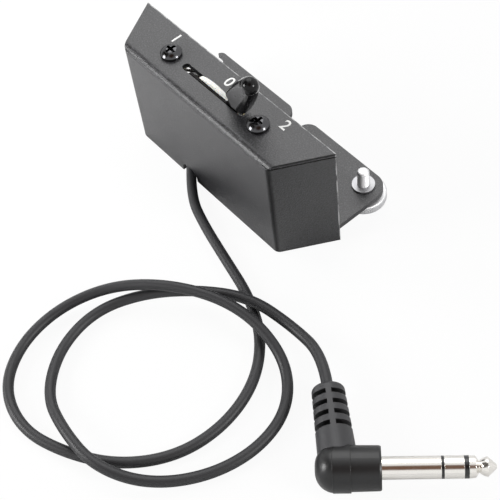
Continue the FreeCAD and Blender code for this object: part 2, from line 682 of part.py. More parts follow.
def sector(radius, half_angle, toward, front, thickness, corner=0.0):
    """Sector about the pivot, centred up (toward = 1) or down (toward = -1)."""
    centre = V(0, front, PIVOT_Z)
    block = rod(radius, centre, centre + Y_AXIS * thickness)
    reach = 3 * radius
    side = reach * math.sin(math.radians(half_angle))
    rise = toward * reach * math.cos(math.radians(half_angle))
    wedge = rounded_face([
        (centre, 0),
        (centre + V(side, 0, rise), 0),
        (centre + V(side, 0, toward * reach), 0),
        (centre + V(-side, 0, toward * reach), 0),
        (centre + V(-side, 0, rise), 0),
    ]).extrude(Y_AXIS * thickness)
    shape = block.common(wedge)
    if corner:
        rims = [
            edge for edge in shape.Edges
            if len(edge.Vertexes) == 2
            and abs(edge.Length - thickness) < 1e-4
            and edge.Vertexes[0].Point.distanceToPoint(edge.Vertexes[1].Point) > 1e-4
            and math.hypot(edge.Vertexes[0].X, edge.Vertexes[0].Z - PIVOT_Z) > radius / 2
        ]
        shape = shape.makeFillet(corner, rims)
    return shape


def tipped(shape):
    """Lever piece turned from upright to the fast position, where the lever rests."""
    shape.rotate(V(0, 0, PIVOT_Z), Y_AXIS, LEVER_TRAVEL)
    return shape


def make_disc():
    """Ivory disc with its hub, three-notch detent cam and contact tail."""
    disc = sector(DISC_RADIUS, DISC_HALF_ANGLE, 1, DISC_FRONT, DISC_THICKNESS, DISC_CORNER)
    hub_front = V(0, FRONT_CHEEK_INNER + HUB_END_GAP, PIVOT_Z)
    hub_back = V(0, BACK_CHEEK_INNER - HUB_END_GAP, PIVOT_Z)
    disc = disc.fuse(rod(HUB_RADIUS, hub_front, hub_back))
    cam_front = FRONT_CHEEK_INNER + HUB_END_GAP + CAM_END_GAP
    cam = sector(CAM_RADIUS, CAM_HALF_ANGLE, -1, cam_front, CAM_THICKNESS)
    for step in (-1, 0, 1):
        angle = math.radians(step * LEVER_TRAVEL)
        out = CAM_RADIUS + NOSE_CENTRE_OUT
        notch = V(out * math.sin(angle), cam_front, PIVOT_Z - out * math.cos(angle))
        cam = cam.cut(rod(NOSE_RADIUS + NOSE_GAP, notch, notch + Y_AXIS * CAM_THICKNESS))
    tail_front = DISC_BACK + HUB_END_GAP + CAM_END_GAP
    tail = sector(TAIL_RADIUS, TAIL_HALF_ANGLE, -1, tail_front, TAIL_THICKNESS)
    disc = disc.fuse([cam, tail])
    disc = disc.cut(rod(PIN_RADIUS + PIVOT_FIT, hub_front, hub_back))
    for radius in ARM_RIVETS:
        seat = V(0, DISC_FRONT - 1, PIVOT_Z + radius)
        disc = disc.cut(rod(RIVET_RADIUS, seat, seat + Y_AXIS * (DISC_THICKNESS + 2)))
    return tipped(disc.removeSplitter())


def arm_stem(clearance):
    """Upright stem of the lever's arm, grown by a clearance all round."""
    half = ARM_WIDTH / 2 + clearance
    front = ARM_FRONT - clearance
    low = PIVOT_Z + ARM_START
    high = PIVOT_Z + ARM_END + clearance
    return rounded_face([
        (V(side_x * half, front, height), ARM_CORNER)
        for side_x, height in ((-1, low), (1, low), (1, high), (-1, high))
    ]).extrude(Y_AXIS * (ARM_THICKNESS + 2 * clearance))


def make_arm():
    """Blackened arm with the fan that fills the slot's front, and the rivets that hold it."""
    upright = FreeCAD.Rotation(Y_AXIS, -LEVER_TRAVEL)
    top = PIVOT_DEPTH - FAN_TOP_GAP
    pivot = V(0, ARM_FRONT, PIVOT_Z)
    apex = pivot + Z_AXIS * (top / math.cos(math.radians(LEVER_TRAVEL)))
    high = upright.multVec(V(-FAN_REACH, 0, top))
    low = upright.multVec(V(-FAN_REACH, 0, top - FAN_END))
    half = ARM_WIDTH / 2
    fan = rounded_face([
        (apex, 0),
        (pivot + high, FAN_CORNER),
        (pivot + low, FAN_CORNER),
        (pivot + V(-half, 0, ARM_START), ARM_CORNER),
        (pivot + V(half, 0, ARM_START), ARM_CORNER),
        (pivot + V(-low.x, 0, low.z), FAN_CORNER),
        (pivot + V(-high.x, 0, high.z), FAN_CORNER),
    ]).extrude(Y_AXIS * ARM_THICKNESS)
    arm = fan.fuse(arm_stem(0)).removeSplitter()
    rivets = []
    for radius in ARM_RIVETS:
        head_front = V(0, ARM_FRONT - RIVET_HEAD_HEIGHT, PIVOT_Z + radius)
        shank_front = V(0, ARM_FRONT, PIVOT_Z + radius)
        back = V(0, DISC_BACK, PIVOT_Z + radius)
        arm = arm.cut(rod(RIVET_RADIUS, shank_front, back))
        rivet = rod(RIVET_RADIUS, shank_front, back).fuse(rod(RIVET_HEAD_RADIUS, head_front, shank_front))
        rivets.append(rivet.removeSplitter())
    return tipped(arm), tipped(Part.makeCompound(rivets))


def make_knob():
    """Knob with flat faces that run out in a round tip, and a base cut to clear the cover."""
    wires = []
    for rise, half_width, half_depth, corner in KNOB_SECTIONS:
        level = PIVOT_Z + KNOB_BASE + rise
        wires.append(rounded_face([
            (V(side_x * half_width, SLOT_Y + side_y * half_depth, level), corner)
            for side_x, side_y in ((-1, -1), (1, -1), (1, 1), (-1, 1))
        ]).OuterWire)
    knob = Part.makeLoft(wires, True, False)
    knob = knob.fuse(Part.makeSphere(KNOB_TIP_RADIUS, V(0, SLOT_Y, PIVOT_Z + KNOB_BASE + KNOB_TIP_AT)))
    reach = COVER_DEPTH
    base = PIVOT_Z + KNOB_BASE
    slope = base + reach * math.tan(math.radians(LEVER_TRAVEL))
    wedge = rounded_face([
        (V(0, -COVER_DEPTH, base), 0),
        (V(reach, -COVER_DEPTH, slope), 0),
        (V(reach, -COVER_DEPTH, 2 * slope), 0),
        (V(-reach, -COVER_DEPTH, 2 * slope), 0),
        (V(-reach, -COVER_DEPTH, slope), 0),
    ]).extrude(Y_AXIS * COVER_DEPTH)
    return tipped(knob.common(wedge).cut(arm_stem(ARM_CLEARANCE)))


def make_detent():
    """Leaf with a formed nose in the cam's notch, and the rivet that holds its foot."""
    back = FRONT_CHEEK_INNER + LEAF_THICKNESS + LEAF_WIDTH
    low = LEAF_TOP - LEAF_THICKNESS
    leaf = box(V(LEAF_LEFT, FRONT_CHEEK_INNER, low), V(LEAF_RIGHT, back, LEAF_TOP))
    foot = rounded_face([
        (V(LEAF_LEFT, FRONT_CHEEK_INNER, low), 0),
        (V(LEAF_LEFT + FOOT_WIDTH, FRONT_CHEEK_INNER, low), 0),
        (V(LEAF_LEFT + FOOT_WIDTH, FRONT_CHEEK_INNER, low + FOOT_HEIGHT), 1.0),
        (V(LEAF_LEFT, FRONT_CHEEK_INNER, low + FOOT_HEIGHT), 1.0),
    ]).extrude(Y_AXIS * LEAF_THICKNESS)
    nose_z = LEAF_TOP + LEAF_DROP
    nose_front = V(0, FRONT_CHEEK_INNER + HUB_END_GAP + CAM_END_GAP, nose_z)
    nose = rod(NOSE_RADIUS, nose_front, V(0, back, nose_z))
    hollow = rod(NOSE_RADIUS - LEAF_THICKNESS, nose_front, V(0, back, nose_z))
    below = box(V(-NOSE_RADIUS, FRONT_CHEEK_INNER, low - NOSE_RADIUS), V(NOSE_RADIUS, back, low))
    leaf = leaf.fuse([foot, nose]).cut(hollow).cut(below)
    rivet_at = V(DETENT_RIVET_X, 0, LEAF_TOP + DETENT_RIVET_RISE)
    outside = rivet_at + Y_AXIS * FRONT_CHEEK_OUTER
    inside = rivet_at + Y_AXIS * (FRONT_CHEEK_INNER + LEAF_THICKNESS)
    leaf = leaf.cut(rod(RIVET_RADIUS, outside, inside))
    rivet = rod(RIVET_RADIUS, outside, inside)
    rivet = rivet.fuse([
        rod(RIVET_HEAD_RADIUS, outside - Y_AXIS * RIVET_HEAD_HEIGHT, outside),
        rod(RIVET_HEAD_RADIUS, inside, inside + Y_AXIS * RIVET_HEAD_HEIGHT),
    ])
    return leaf.removeSplitter(), rivet.removeSplitter()


def blade(path, front):
    """Contact blade: its (x, z) centre line thickened along X and drawn along Y."""
    half = BLADE_THICKNESS / 2
    points = [V(x - half, front, z) for x, z in path]
    points += [V(x + half, front, z) for x, z in reversed(path)]
    points.append(points[0])
    return Part.Face(Part.makePolygon(points)).extrude(Y_AXIS * BLADE_WIDTH)


def make_contacts(side, deflection):
    """One circuit: its block, moving blade and fixed blade. side is -1 or 1 along X."""
    block_front = BACK_CHEEK_INNER - BLOCK_DEPTH
    blade_front = block_front + (BLOCK_DEPTH - BLADE_WIDTH) / 2
    middle = blade_front + BLADE_WIDTH / 2
    low_x = side * (BLADE_INNER_X + deflection)
    moving = blade([
        (side * BLADE_INNER_X, BLADE_TOP),
        (side * BLADE_INNER_X, BLADE_BEND_TOP),
        (low_x, BLADE_BEND_BOTTOM),
        (low_x, BLADE_BOTTOM),
    ], blade_front)
    fixed = blade([(side * BLADE_OUTER_X, BLADE_TOP), (side * BLADE_OUTER_X, BLADE_BOTTOM)], blade_front)
    button = (BLADE_OUTER_X - BLADE_INNER_X - BLADE_DEFLECTION - BLADE_THICKNESS) / 2
    moving_face = V(low_x + side * BLADE_THICKNESS / 2, middle, CONTACT_HEIGHT)
    fixed_face = V(side * (BLADE_OUTER_X - BLADE_THICKNESS / 2), middle, CONTACT_HEIGHT)
    moving = moving.fuse(rod(CONTACT_RADIUS, moving_face, moving_face + X_AXIS * side * button))
    fixed = fixed.fuse(rod(CONTACT_RADIUS, fixed_face, fixed_face - X_AXIS * side * button))
    near = side * BLOCK_INNER_X
    far = side * BLOCK_OUTER_X
    block = box(V(min(near, far), block_front, BLOCK_BOTTOM), V(max(near, far), BACK_CHEEK_INNER, BLOCK_TOP))
    for x in (BLADE_INNER_X, BLADE_OUTER_X):
        block = block.cut(blade([(side * x, BLADE_TOP), (side * x, BLADE_BEND_TOP)], blade_front))
    screw = V(side * BLOCK_SCREW_X, BACK_CHEEK_INNER, BLOCK_SCREW_HEIGHT)
    block = block.cut(rod(BLOCK_SCREW_RADIUS + THREAD_CLEARANCE, screw - Y_AXIS * BLOCK_SCREW_DEPTH, screw))
    return block, moving, fixed


def make_block_screws():
    """Two small screws from behind, through the back cheek into the blocks."""
    screws = []
    for side in (-1, 1):
        seat = V(side * BLOCK_SCREW_X, BACK_CHEEK_OUTER, BLOCK_SCREW_HEIGHT)
        tip = seat - Y_AXIS * (FRAME_SHEET + BLOCK_SCREW_DEPTH)
        shank = rod(BLOCK_SCREW_RADIUS, tip, seat)
        head = rod(BLOCK_HEAD_RADIUS, seat, seat + Y_AXIS * BLOCK_HEAD_HEIGHT)
        screws.append(shank.fuse(head).removeSplitter())
    return Part.makeCompound(screws)


def make_wires():
    """Three wires from the lead's end to the blades, and the jumper between the moving blades."""
    lug_y = BACK_CHEEK_INNER - (BLOCK_DEPTH - BLADE_WIDTH) / 2
    levels = [COVER_HEIGHT - depth for depth in WIRE_LEVEL_DEPTHS]
    wires = []
    for spread, lug_x, level in zip((-1, 0, 1), (-BLADE_OUTER_X, -BLADE_INNER_X, BLADE_OUTER_X), levels):
        y = LEAD_IN_Y + spread * WIRE_PITCH
        rise_x = WIRE_RADIUS + WIRE_PITCH + WIRE_EAR_GAP - EAR_FACE_X
        turn_y = y + WIRE_TURN_BACK + spread * WIRE_FAN / 2
        wires.append(tube([
            V(LEAD_IN_END, y, LEAD_IN_Z),
            V(rise_x, y, LEAD_IN_Z),
            V(rise_x + WIRE_RADIUS, turn_y, LEAD_IN_Z + WIRE_TURN_RISE),
            V(rise_x + WIRE_SLOPE_LENGTH, WIRE_BACK, level - WIRE_LEVEL_DROP),
            V(lug_x, WIRE_BACK, level),
            V(lug_x, lug_y, level),
        ], WIRE_RADIUS, "wire"))
    jumper = tube([
        V(-BLADE_INNER_X, lug_y, levels[0]),
        V(-BLADE_INNER_X, WIRE_BACK, levels[0]),
        V(BLADE_INNER_X, WIRE_BACK, levels[0]),
        V(BLADE_INNER_X, lug_y, levels[0]),
    ], WIRE_RADIUS, "jumper")
    return wires, jumper


def make_clamp():
    """Saddle over the lead on the bracket, with its screw and nut."""
    axis_z = LEAD_IN_Z
    start = V(CLAMP_LEFT, LEAD_IN_Y, axis_z)
    end = V(CLAMP_RIGHT, LEAD_IN_Y, axis_z)
    bore = CORD_RADIUS + CLAMP_GAP
    outer = bore + CLAMP_WALL
    saddle = rod(outer, start, end).fuse([
        box(V(CLAMP_LEFT, LEAD_IN_Y - outer, BRACKET_TOP), V(CLAMP_RIGHT, LEAD_IN_Y + outer, axis_z)),
        box(V(CLAMP_LEFT, LEAD_IN_Y, BRACKET_TOP), V(CLAMP_RIGHT, CLAMP_FOOT_BACK, BRACKET_TOP + CLAMP_WALL)),
    ])
    saddle = saddle.cut(box(V(CLAMP_LEFT, -COVER_DEPTH, 0), V(CLAMP_RIGHT, 0, BRACKET_TOP)))
    saddle = saddle.cut(rod(bore, start, end))
    saddle = saddle.cut(box(
        V(CLAMP_LEFT, LEAD_IN_Y - bore, BRACKET_TOP),
        V(CLAMP_RIGHT, LEAD_IN_Y + bore, axis_z),
    ))
    seat = V((CLAMP_LEFT + CLAMP_RIGHT) / 2, CLAMP_SCREW_Y, BRACKET_TOP + CLAMP_WALL)
    nut_bottom = V(seat.x, seat.y, BRACKET_BOTTOM - CLAMP_NUT_HEIGHT)
    tip = nut_bottom - Z_AXIS * CLAMP_SCREW_END
    saddle = saddle.cut(rod(CLAMP_SCREW_RADIUS + THREAD_CLEARANCE, tip, seat))
    screw = rod(CLAMP_SCREW_RADIUS, tip, seat).fuse(
        rod(CLAMP_HEAD_RADIUS, seat, seat + Z_AXIS * CLAMP_HEAD_HEIGHT))
    corners = [
        nut_bottom + V(math.cos(step * math.pi / 3), math.sin(step * math.pi / 3), 0) * CLAMP_NUT_RADIUS
        for step in range(7)
    ]
    nut = Part.Face(Part.makePolygon(corners)).extrude(Z_AXIS * CLAMP_NUT_HEIGHT)
    nut = nut.cut(rod(CLAMP_SCREW_RADIUS + THREAD_CLEARANCE, tip, seat))
    return saddle.removeSplitter(), screw.removeSplitter(), nut


def plug_directions():
    """Unit directions of the plug's shaft and of its boot, both level."""
    heading = math.radians(PLUG_HEADING)
    boot = math.radians(PLUG_HEADING + 90 + BOOT_LEAN)
    return V(math.cos(heading), math.sin(heading), 0), V(math.cos(boot), math.sin(boot), 0)


def make_plug():
    """Jack shaft in its four stacked parts, moulded elbow and slotted boot."""
    shaft, boot_axis = plug_directions()
    radius = SHAFT_RADIUS
    pieces = {
        "plug_sleeve": turned([(0, radius), (SLEEVE_END, radius)], PLUG_FACE, shaft),
        "plug_ring": turned([(FIRST_INSULATOR_END, radius), (RING_END, radius)], PLUG_FACE, shaft),
        "plug_insulator_rings": Part.makeCompound([
            turned([(SLEEVE_END, radius), (FIRST_INSULATOR_END, radius)], PLUG_FACE, shaft),
            turned([(RING_END, radius), (SECOND_INSULATOR_END, radius)], PLUG_FACE, shaft),
        ]),
        "plug_tip": make_plug_tip(shaft),
    }
    dome_start = PLUG_FACE - shaft * BODY_BAND_END
    across = V(0, 0, 1)
    dome_rim = dome_start + across * BODY_DOME_RADIUS
    dome_end = PLUG_FACE - shaft * BODY_LENGTH
    dome_mid = PLUG_FACE - shaft * (BODY_LENGTH - 1.3) + across * (BODY_DOME_RADIUS * 0.72)
    dome = revolved([
        Part.makeLine(dome_start, dome_rim),
        Part.Arc(dome_rim, dome_mid, dome_end).toShape(),
        Part.makeLine(dome_end, dome_start),
    ], PLUG_FACE, shaft)
    body = turned([
        (-BODY_BAND_END, BODY_BAND_RADIUS),
        (-BODY_BAND_START, BODY_BAND_RADIUS),
        (-BODY_BAND_START, BODY_NECK_RADIUS),
        (-BODY_EDGE, BODY_FACE_RADIUS + BODY_EDGE / 2),
        (0, BODY_FACE_RADIUS),
    ], PLUG_FACE, shaft).fuse(dome)
    elbow = PLUG_FACE - shaft * ELBOW_BACK
    boot = turned([(0, BOOT_ROOT_RADIUS), (BOOT_REACH, BOOT_END_RADIUS)], elbow, boot_axis)
    rim = max((edge for edge in boot.Edges if edge.Closed), key=lambda edge: edge.CenterOfMass.distanceToPoint(elbow))
    boot = boot.makeFillet(BOOT_END_ROUNDING, [rim])
    boot = boot.cut(body)
    for index in range(BOOT_SLOTS):
        centre = BOOT_REACH - BOOT_SLOT_FIRST - index * BOOT_SLOT_PITCH
        start = elbow + boot_axis * (centre - BOOT_SLOT_WIDTH / 2)
        end = elbow + boot_axis * (centre + BOOT_SLOT_WIDTH / 2)
        groove = rod(2 * BOOT_ROOT_RADIUS, start, end).cut(rod(BOOT_SLOT_FLOOR, start, end))
        spine = Part.makeBox(BOOT_SLOT_WIDTH, BOOT_SPINE, 4 * BOOT_ROOT_RADIUS,
                             V(0, -BOOT_SPINE / 2, -2 * BOOT_ROOT_RADIUS))
        spine.rotate(V(0, 0, 0), Z_AXIS, PLUG_HEADING + 90 + BOOT_LEAN)
        spine.translate(start)
        boot = boot.cut(groove.cut(spine))
    pieces["plug_body"] = body.removeSplitter()
    pieces["plug_boot"] = boot
    return pieces


def make_plug_tip(shaft):
    """Tip with its shoulder, neck, ball and rounded point."""
    across = V(0, 0, 1)

    def at(along, radius):
        return PLUG_FACE + shaft * along + across * radius

    return revolved([
        Part.makeLine(at(SECOND_INSULATOR_END, 0), at(SECOND_INSULATOR_END, SHAFT_RADIUS)),
        Part.makeLine(at(SECOND_INSULATOR_END, SHAFT_RADIUS), at(SHOULDER_END, SHAFT_RADIUS - 0.15)),
        Part.makeLine(at(SHOULDER_END, SHAFT_RADIUS - 0.15), at(NECK_AT, NECK_RADIUS)),
        Part.Arc(at(NECK_AT, NECK_RADIUS), at((NECK_AT + BALL_AT) / 2 - 0.1, (NECK_RADIUS + BALL_RADIUS) / 2 + 0.15),
                 at(BALL_AT, BALL_RADIUS)).toShape(),
        Part.makeLine(at(BALL_AT, BALL_RADIUS), at(TIP_END - TIP_EDGE, TIP_POINT_RADIUS + TIP_EDGE)),
        Part.makeLine(at(TIP_END - TIP_EDGE, TIP_POINT_RADIUS + TIP_EDGE), at(TIP_END, TIP_POINT_RADIUS)),
        Part.makeLine(at(TIP_END, TIP_POINT_RADIUS), at(TIP_END, 0)),
        Part.makeLine(at(TIP_END, 0), at(SECOND_INSULATOR_END, 0)),
    ], PLUG_FACE, shaft)


def make_cords():
    """The free lead from the cover's notch to the boot, and the stretch inside the box."""
    shaft, boot_axis = plug_directions()
    boot_end = PLUG_FACE - shaft * ELBOW_BACK + boot_axis * BOOT_REACH
    route = [CORD_START] + list(CORD_ROUTE) + [boot_end + boot_axis * CORD_LAST_RUN, boot_end]
    cord = tube(route, CORD_RADIUS, "cord")
    rise = V(LEAD_IN_END + LEAD_IN_RUN, LEAD_IN_Y, LEAD_IN_Z)
    climb = rise - LEAD_IN_TURN
    shares = LEAD_IN_SHARES
    middle = LEAD_IN_TURN + V(climb.x * shares.x, climb.y * shares.y, climb.z * shares.z)
    inside = [CORD_START, LEAD_IN_TURN, middle, rise, V(LEAD_IN_END, LEAD_IN_Y, LEAD_IN_Z)]
    return cord, tube(inside, CORD_RADIUS, "cord_lead_in")


def make_pieces():
    """Every piece of the part in the design frame, by node name."""
    pieces = {
        "cover": make_cover(),
        "mounting_bracket": make_bracket(),
        "panel_screws": make_panel_screws(),
        "switch_frame": make_frame(),
        "half_moon_disc": make_disc(),
        "lever_knob": make_knob(),
        "block_screws": make_block_screws(),
    }
    pieces["thumbscrew"], pieces["thumbscrew_retainer"] = make_thumbscrew()
    pieces["pivot_pin"], pieces["pivot_clip"] = make_pivot()
    pieces["lever_arm"], pieces["arm_rivets"] = make_arm()
    pieces["detent_spring"], pieces["detent_rivet"] = make_detent()
    for name, side, deflection in (("fast", -1, BLADE_DEFLECTION), ("slow", 1, 0.0)):
        block, moving, fixed = make_contacts(side, deflection)
        pieces[name + "_contact_block"] = block
        pieces[name + "_moving_blade"] = moving
        pieces[name + "_fixed_blade"] = fixed
    wires, pieces["jumper_wire"] = make_wires()
    pieces["wire_tip"], pieces["wire_sleeve"], pieces["wire_ring"] = wires
    pieces["cord_clamp"], pieces["clamp_screw"], pieces["clamp_nut"] = make_clamp()
    pieces["cord"], pieces["cord_lead_in"] = make_cords()
    pieces.update(make_plug())
    return pieces


def housing_origin(pieces):
    """Bottom centre of the housing's box, without the lead and its plug."""
    free = ("cord", "plug_boot", "plug_body", "plug_sleeve", "plug_ring", "plug_insulator_rings", "plug_tip")
    boxes = [shape.optimalBoundingBox() for name, shape in pieces.items() if name not in free]
    x = (min(b.XMin for b in boxes) + max(b.XMax for b in boxes)) / 2
    y = (min(b.YMin for b in boxes) + max(b.YMax for b in boxes)) / 2
    return V(x, y, min(b.ZMin for b in boxes))


def main():
    """Build, move to the part's frame and write one file per piece."""
    os.makedirs("parts", exist_ok=True)
    pieces = make_pieces()
    origin = housing_origin(pieces)
    print("origin", [round(value, 4) for value in origin])
    for name, shape in pieces.items():
        shape.translate(-origin)
        print(name, "solids", len(shape.Solids), "volume", round(shape.Volume, 1), "valid", shape.isValid())
        shape.exportStep("parts/" + name + ".step")


main()
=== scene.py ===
"""Half moon switch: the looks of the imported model, its lead and its photographer's table."""
from __future__ import annotations

import logging
import math
from dataclasses import dataclass
from enum import Enum
from typing import Callable, Sequence

import bmesh
import bpy
from mathutils import Matrix, Vector


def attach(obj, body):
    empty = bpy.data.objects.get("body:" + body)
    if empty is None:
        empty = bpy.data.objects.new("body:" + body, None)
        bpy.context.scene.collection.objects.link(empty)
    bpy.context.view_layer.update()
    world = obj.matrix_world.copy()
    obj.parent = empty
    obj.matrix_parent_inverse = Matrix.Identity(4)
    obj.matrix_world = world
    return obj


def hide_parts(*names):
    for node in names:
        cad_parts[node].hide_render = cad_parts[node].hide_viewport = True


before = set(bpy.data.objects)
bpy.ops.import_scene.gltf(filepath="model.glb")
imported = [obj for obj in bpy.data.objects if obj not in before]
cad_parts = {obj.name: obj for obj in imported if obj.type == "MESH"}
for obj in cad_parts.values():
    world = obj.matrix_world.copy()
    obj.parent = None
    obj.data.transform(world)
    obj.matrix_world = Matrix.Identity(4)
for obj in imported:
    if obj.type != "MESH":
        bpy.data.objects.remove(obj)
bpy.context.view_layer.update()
LOG = logging.getLogger("half_moon_switch")

MM = 0.001
# From the design frame of the lengths below, in millimetres, to the part's own frame
SHIFT = Vector((0.5, 2.9, 0.0))
# The screen's sRGB curve: a straight toe below the knee and a power above it
TOE_SLOPE = 12.92
KNEE = 0.04045
OFFSET = 0.055
POWER = 2.4
WHITE = (1.0, 1.0, 1.0, 1.0)
# A flexible piece's steps round and along, and its line's NURBS order
ROUND_STEPS = 6
LINE_STEPS = 14
LINE_ORDER = 3
# Middle of the plug's face in design millimetres, and where the shaft points, in degrees
PLUG_FACE = (114.2, -47.9, 6.85)
PLUG_HEADING = 48.2

Material = bpy.types.Material
Colour = tuple[float, float, float]
Spot = tuple[float, float, float]


def placed(x: float, y: float, z: float) -> Vector:
    """Point of the part's frame, in metres, from design millimetres."""
    return (Vector((x, y, z)) - SHIFT) * MM


def linear(red: float, green: float, blue: float) -> Colour:
    """Scene-linear colour of what a screen shows.

    Args:
        red: Its red, 0 to 255.
        green: Its green.
        blue: Its blue.

    Returns:
        The three channels.
    """

    def channel(value: float) -> float:
        """One channel of it."""
        share = value / 255
        return share / TOE_SLOPE if share <= KNEE else ((share + OFFSET) / (1 + OFFSET)) ** POWER

    return channel(red), channel(green), channel(blue)


class Value:
    """A shader socket that Python arithmetic can be written with."""

    def __init__(self, recipe: Recipe, socket: bpy.types.NodeSocket) -> None:
        """Wraps a node's output socket."""
        self.recipe = recipe
        self.socket = socket

    def _math(
        self, operation: str, first: object, second: object = 0.0, clamp: bool = False
    ) -> Value:
        """Result of a Math node on values or numbers, held within 0 and 1 on demand."""
        settings = {"operation": operation, "use_clamp": clamp}
        return self.recipe.add("ShaderNodeMath", settings, {0: first, 1: second})

    def __add__(self, other: object) -> Value:
        """Sum."""
        return self._math("ADD", self, other)

    def __radd__(self, other: object) -> Value:
        """Sum, reflected."""
        return self._math("ADD", other, self)

    def __sub__(self, other: object) -> Value:
        """Difference."""
        return self._math("SUBTRACT", self, other)

    def __rsub__(self, other: object) -> Value:
        """Difference, reflected."""
        return self._math("SUBTRACT", other, self)

    def __mul__(self, other: object) -> Value:
        """Product."""
        return self._math("MULTIPLY", self, other)

    def __rmul__(self, other: object) -> Value:
        """Product, reflected."""
        return self._math("MULTIPLY", other, self)

    def __truediv__(self, other: object) -> Value:
        """Quotient."""
        return self._math("DIVIDE", self, other)

    def __rtruediv__(self, other: object) -> Value:
        """Quotient, reflected."""
        return self._math("DIVIDE", other, self)

    def __pow__(self, other: object) -> Value:
        """Power."""
        return self._math("POWER", self, other)

    def __gt__(self, other: object) -> Value:
        """1 where it is the greater, else 0."""
        return self._math("GREATER_THAN", self, other)

    def __lt__(self, other: object) -> Value:
        """1 where it is the smaller, else 0."""
        return self._math("LESS_THAN", self, other)

    def held(self) -> Value:
        """The value, held within 0 and 1."""
        return self._math("ADD", self, 0.0, clamp=True)

    def rising(self, start: float, gain: float) -> Value:
        """Mask that leaves 0 at the start and rises with the value."""
        return ((self - start) * gain).held()

    def falling(self, end: float, gain: float) -> Value:
        """Mask that falls with the value and reaches 0 at the end."""
        return ((end - self) * gain).held()

    def swing(self, spread: float) -> Value:
        """A noise's swing about its middle, one half, times a spread."""
        return (self - 0.5) * spread


class Recipe:
    """A material, or a world, in the making: its node tree and the shader at its end."""

    painted_shade_black = (0.003, 0.003, 0.003, 1.0)

    def __init__(self, name: str, world: bool = False) -> None:
        """Starts an empty node tree.

        Args:
            name: The material's or world's name.
            world: Whether it is a world.
        """
        self.owner = (bpy.data.worlds if world else bpy.data.materials).new(name)
        self.output = "ShaderNodeOutputWorld" if world else "ShaderNodeOutputMaterial"
        self.owner.use_nodes = True
        self.tree = self.owner.node_tree
        self.tree.nodes.clear()

    def add(
        self,
        kind: str,
        settings: dict[str, object] | None = None,
        sockets: dict[str | int, object] | None = None,
        output: str | int = 0,
    ) -> Value:
        """Adds a node.

        Args:
            kind: The node's type.
            settings: Its settings, such as an operation.
            sockets: Values or links for its input sockets, by name or number.
            output: The output socket that is wanted.

        Returns:
            That output.
        """
        node = self.tree.nodes.new(kind)
        for name, value in (settings or {}).items():
            setattr(node, name, value)
        for name, value in (sockets or {}).items():
            if isinstance(value, Value):
                self.tree.links.new(value.socket, node.inputs[name])
            else:
                node.inputs[name].default_value = value
        return Value(self, node.outputs[output])

    def place(self) -> Value:
        """Position on the object, in metres."""
        return self.add("ShaderNodeTexCoord", output="Object")

    def axis(self, name: str) -> Value:
        """One coordinate, "X", "Y" or "Z", of the position, in metres."""
        return self.add("ShaderNodeSeparateXYZ", sockets={0: self.place()}, output=name)

    def normal(self) -> Value:
        """The surface's own normal."""
        return self.add("ShaderNodeNewGeometry", output="Normal")

    def facing(self, name: str) -> Value:
        """One coordinate, "X", "Y" or "Z", of the normal."""
        return self.add("ShaderNodeSeparateXYZ", sockets={0: self.normal()}, output=name)

    def dot(self, first: object, second: object) -> Value:
        """Dot product of two vectors."""
        settings = {"operation": "DOT_PRODUCT"}
        return self.add("ShaderNodeVectorMath", settings, {0: first, 1: second}, "Value")

    def stretched(self, scale: Sequence[float]) -> Value:
        """Position with each axis scaled."""
        sockets = {0: self.place(), 1: tuple(scale)}
        return self.add("ShaderNodeVectorMath", {"operation": "MULTIPLY"}, sockets)

    def noise(
        self, scale: float, detail: float, at: Value | None = None, rough: float = 0.5
    ) -> Value:
        """Noise about one half.

        Args:
            scale: Spots per metre.
            detail: Octaves.
            at: Where it is read, else the object's own position.
            rough: How strong the finer octaves are.

        Returns:
            Its factor.
        """
        sockets = {"Scale": scale, "Detail": detail, "Roughness": rough}
        sockets["Vector"] = at or self.place()
        return self.add("ShaderNodeTexNoise", sockets=sockets)

    def tint(self, factor: object, first: object, second: object) -> Value:
        """Mix of two colours, given as colours or values.

        Args:
            factor: Share of the second, 0 to 1.
            first: The first.
            second: The second.

        Returns:
            The mix.
        """

        def full(value: object) -> object:
            """A colour with its alpha, or the value as it is."""
            return value if isinstance(value, Value) else (*value, 1.0)

        sockets = {0: factor, 6: full(first), 7: full(second)}
        return self.add("ShaderNodeMix", {"data_type": "RGBA"}, sockets, output=2)

    def softened(self, radius: float) -> Value:
        """Normal with the sharp edges rounded over a radius in millimetres."""
        return self.add("ShaderNodeBevel", {"samples": 6}, {"Radius": radius * MM}, "Normal")

    def edges(self, radius: float, gain: float) -> Value:
        """Mask of the sharp edges, as wide as the radius in millimetres."""
        return self.dot(self.normal(), self.softened(radius)).falling(1.0, gain)

    def bumped(self, height: Value, depth: float, normal: Value | None = None) -> Value:
        """Normal with a relief.

        Args:
            height: The relief, 0 to 1.
            depth: Its depth in millimetres.
            normal: The normal that it stands on, else the surface's own.

        Returns:
            The new normal.
        """
        sockets = {"Height": height, "Distance": depth * MM}
        if normal is not None:
            sockets["Normal"] = normal
        return self.add("ShaderNodeBump", sockets=sockets, output="Normal")

    def finish(self, sockets: dict[str, object], shade_mask: Value | None = None) -> Material:
        """Ends the tree in a Principled shader.

        Args:
            sockets: Values or links for the shader's sockets.
            shade_mask: Mask of painted shade in open seams and dark corners, black and without a
                shine.

        Returns:
            The material.
        """
        shader = self.add("ShaderNodeBsdfPrincipled", sockets=sockets)
        # Painted shade: where the mask is set the surface turns black, without a shine
        if shade_mask is not None:
            black = self.add("ShaderNodeBsdfDiffuse", sockets={"Color": self.painted_shade_black})
            shades = {0: shade_mask.held(), 1: shader, 2: black}
            shader = self.add("ShaderNodeMixShader", sockets=shades)
        return self.end(shader)

    def end(self, shader: Value) -> Material | bpy.types.World:
        """Joins the last shader to the surface.

        Args:
            shader: The shader.

        Returns:
            The material or world.
        """
        target = self.tree.nodes.new(self.output)
        self.tree.links.new(shader.socket, target.inputs["Surface"])
        return self.owner


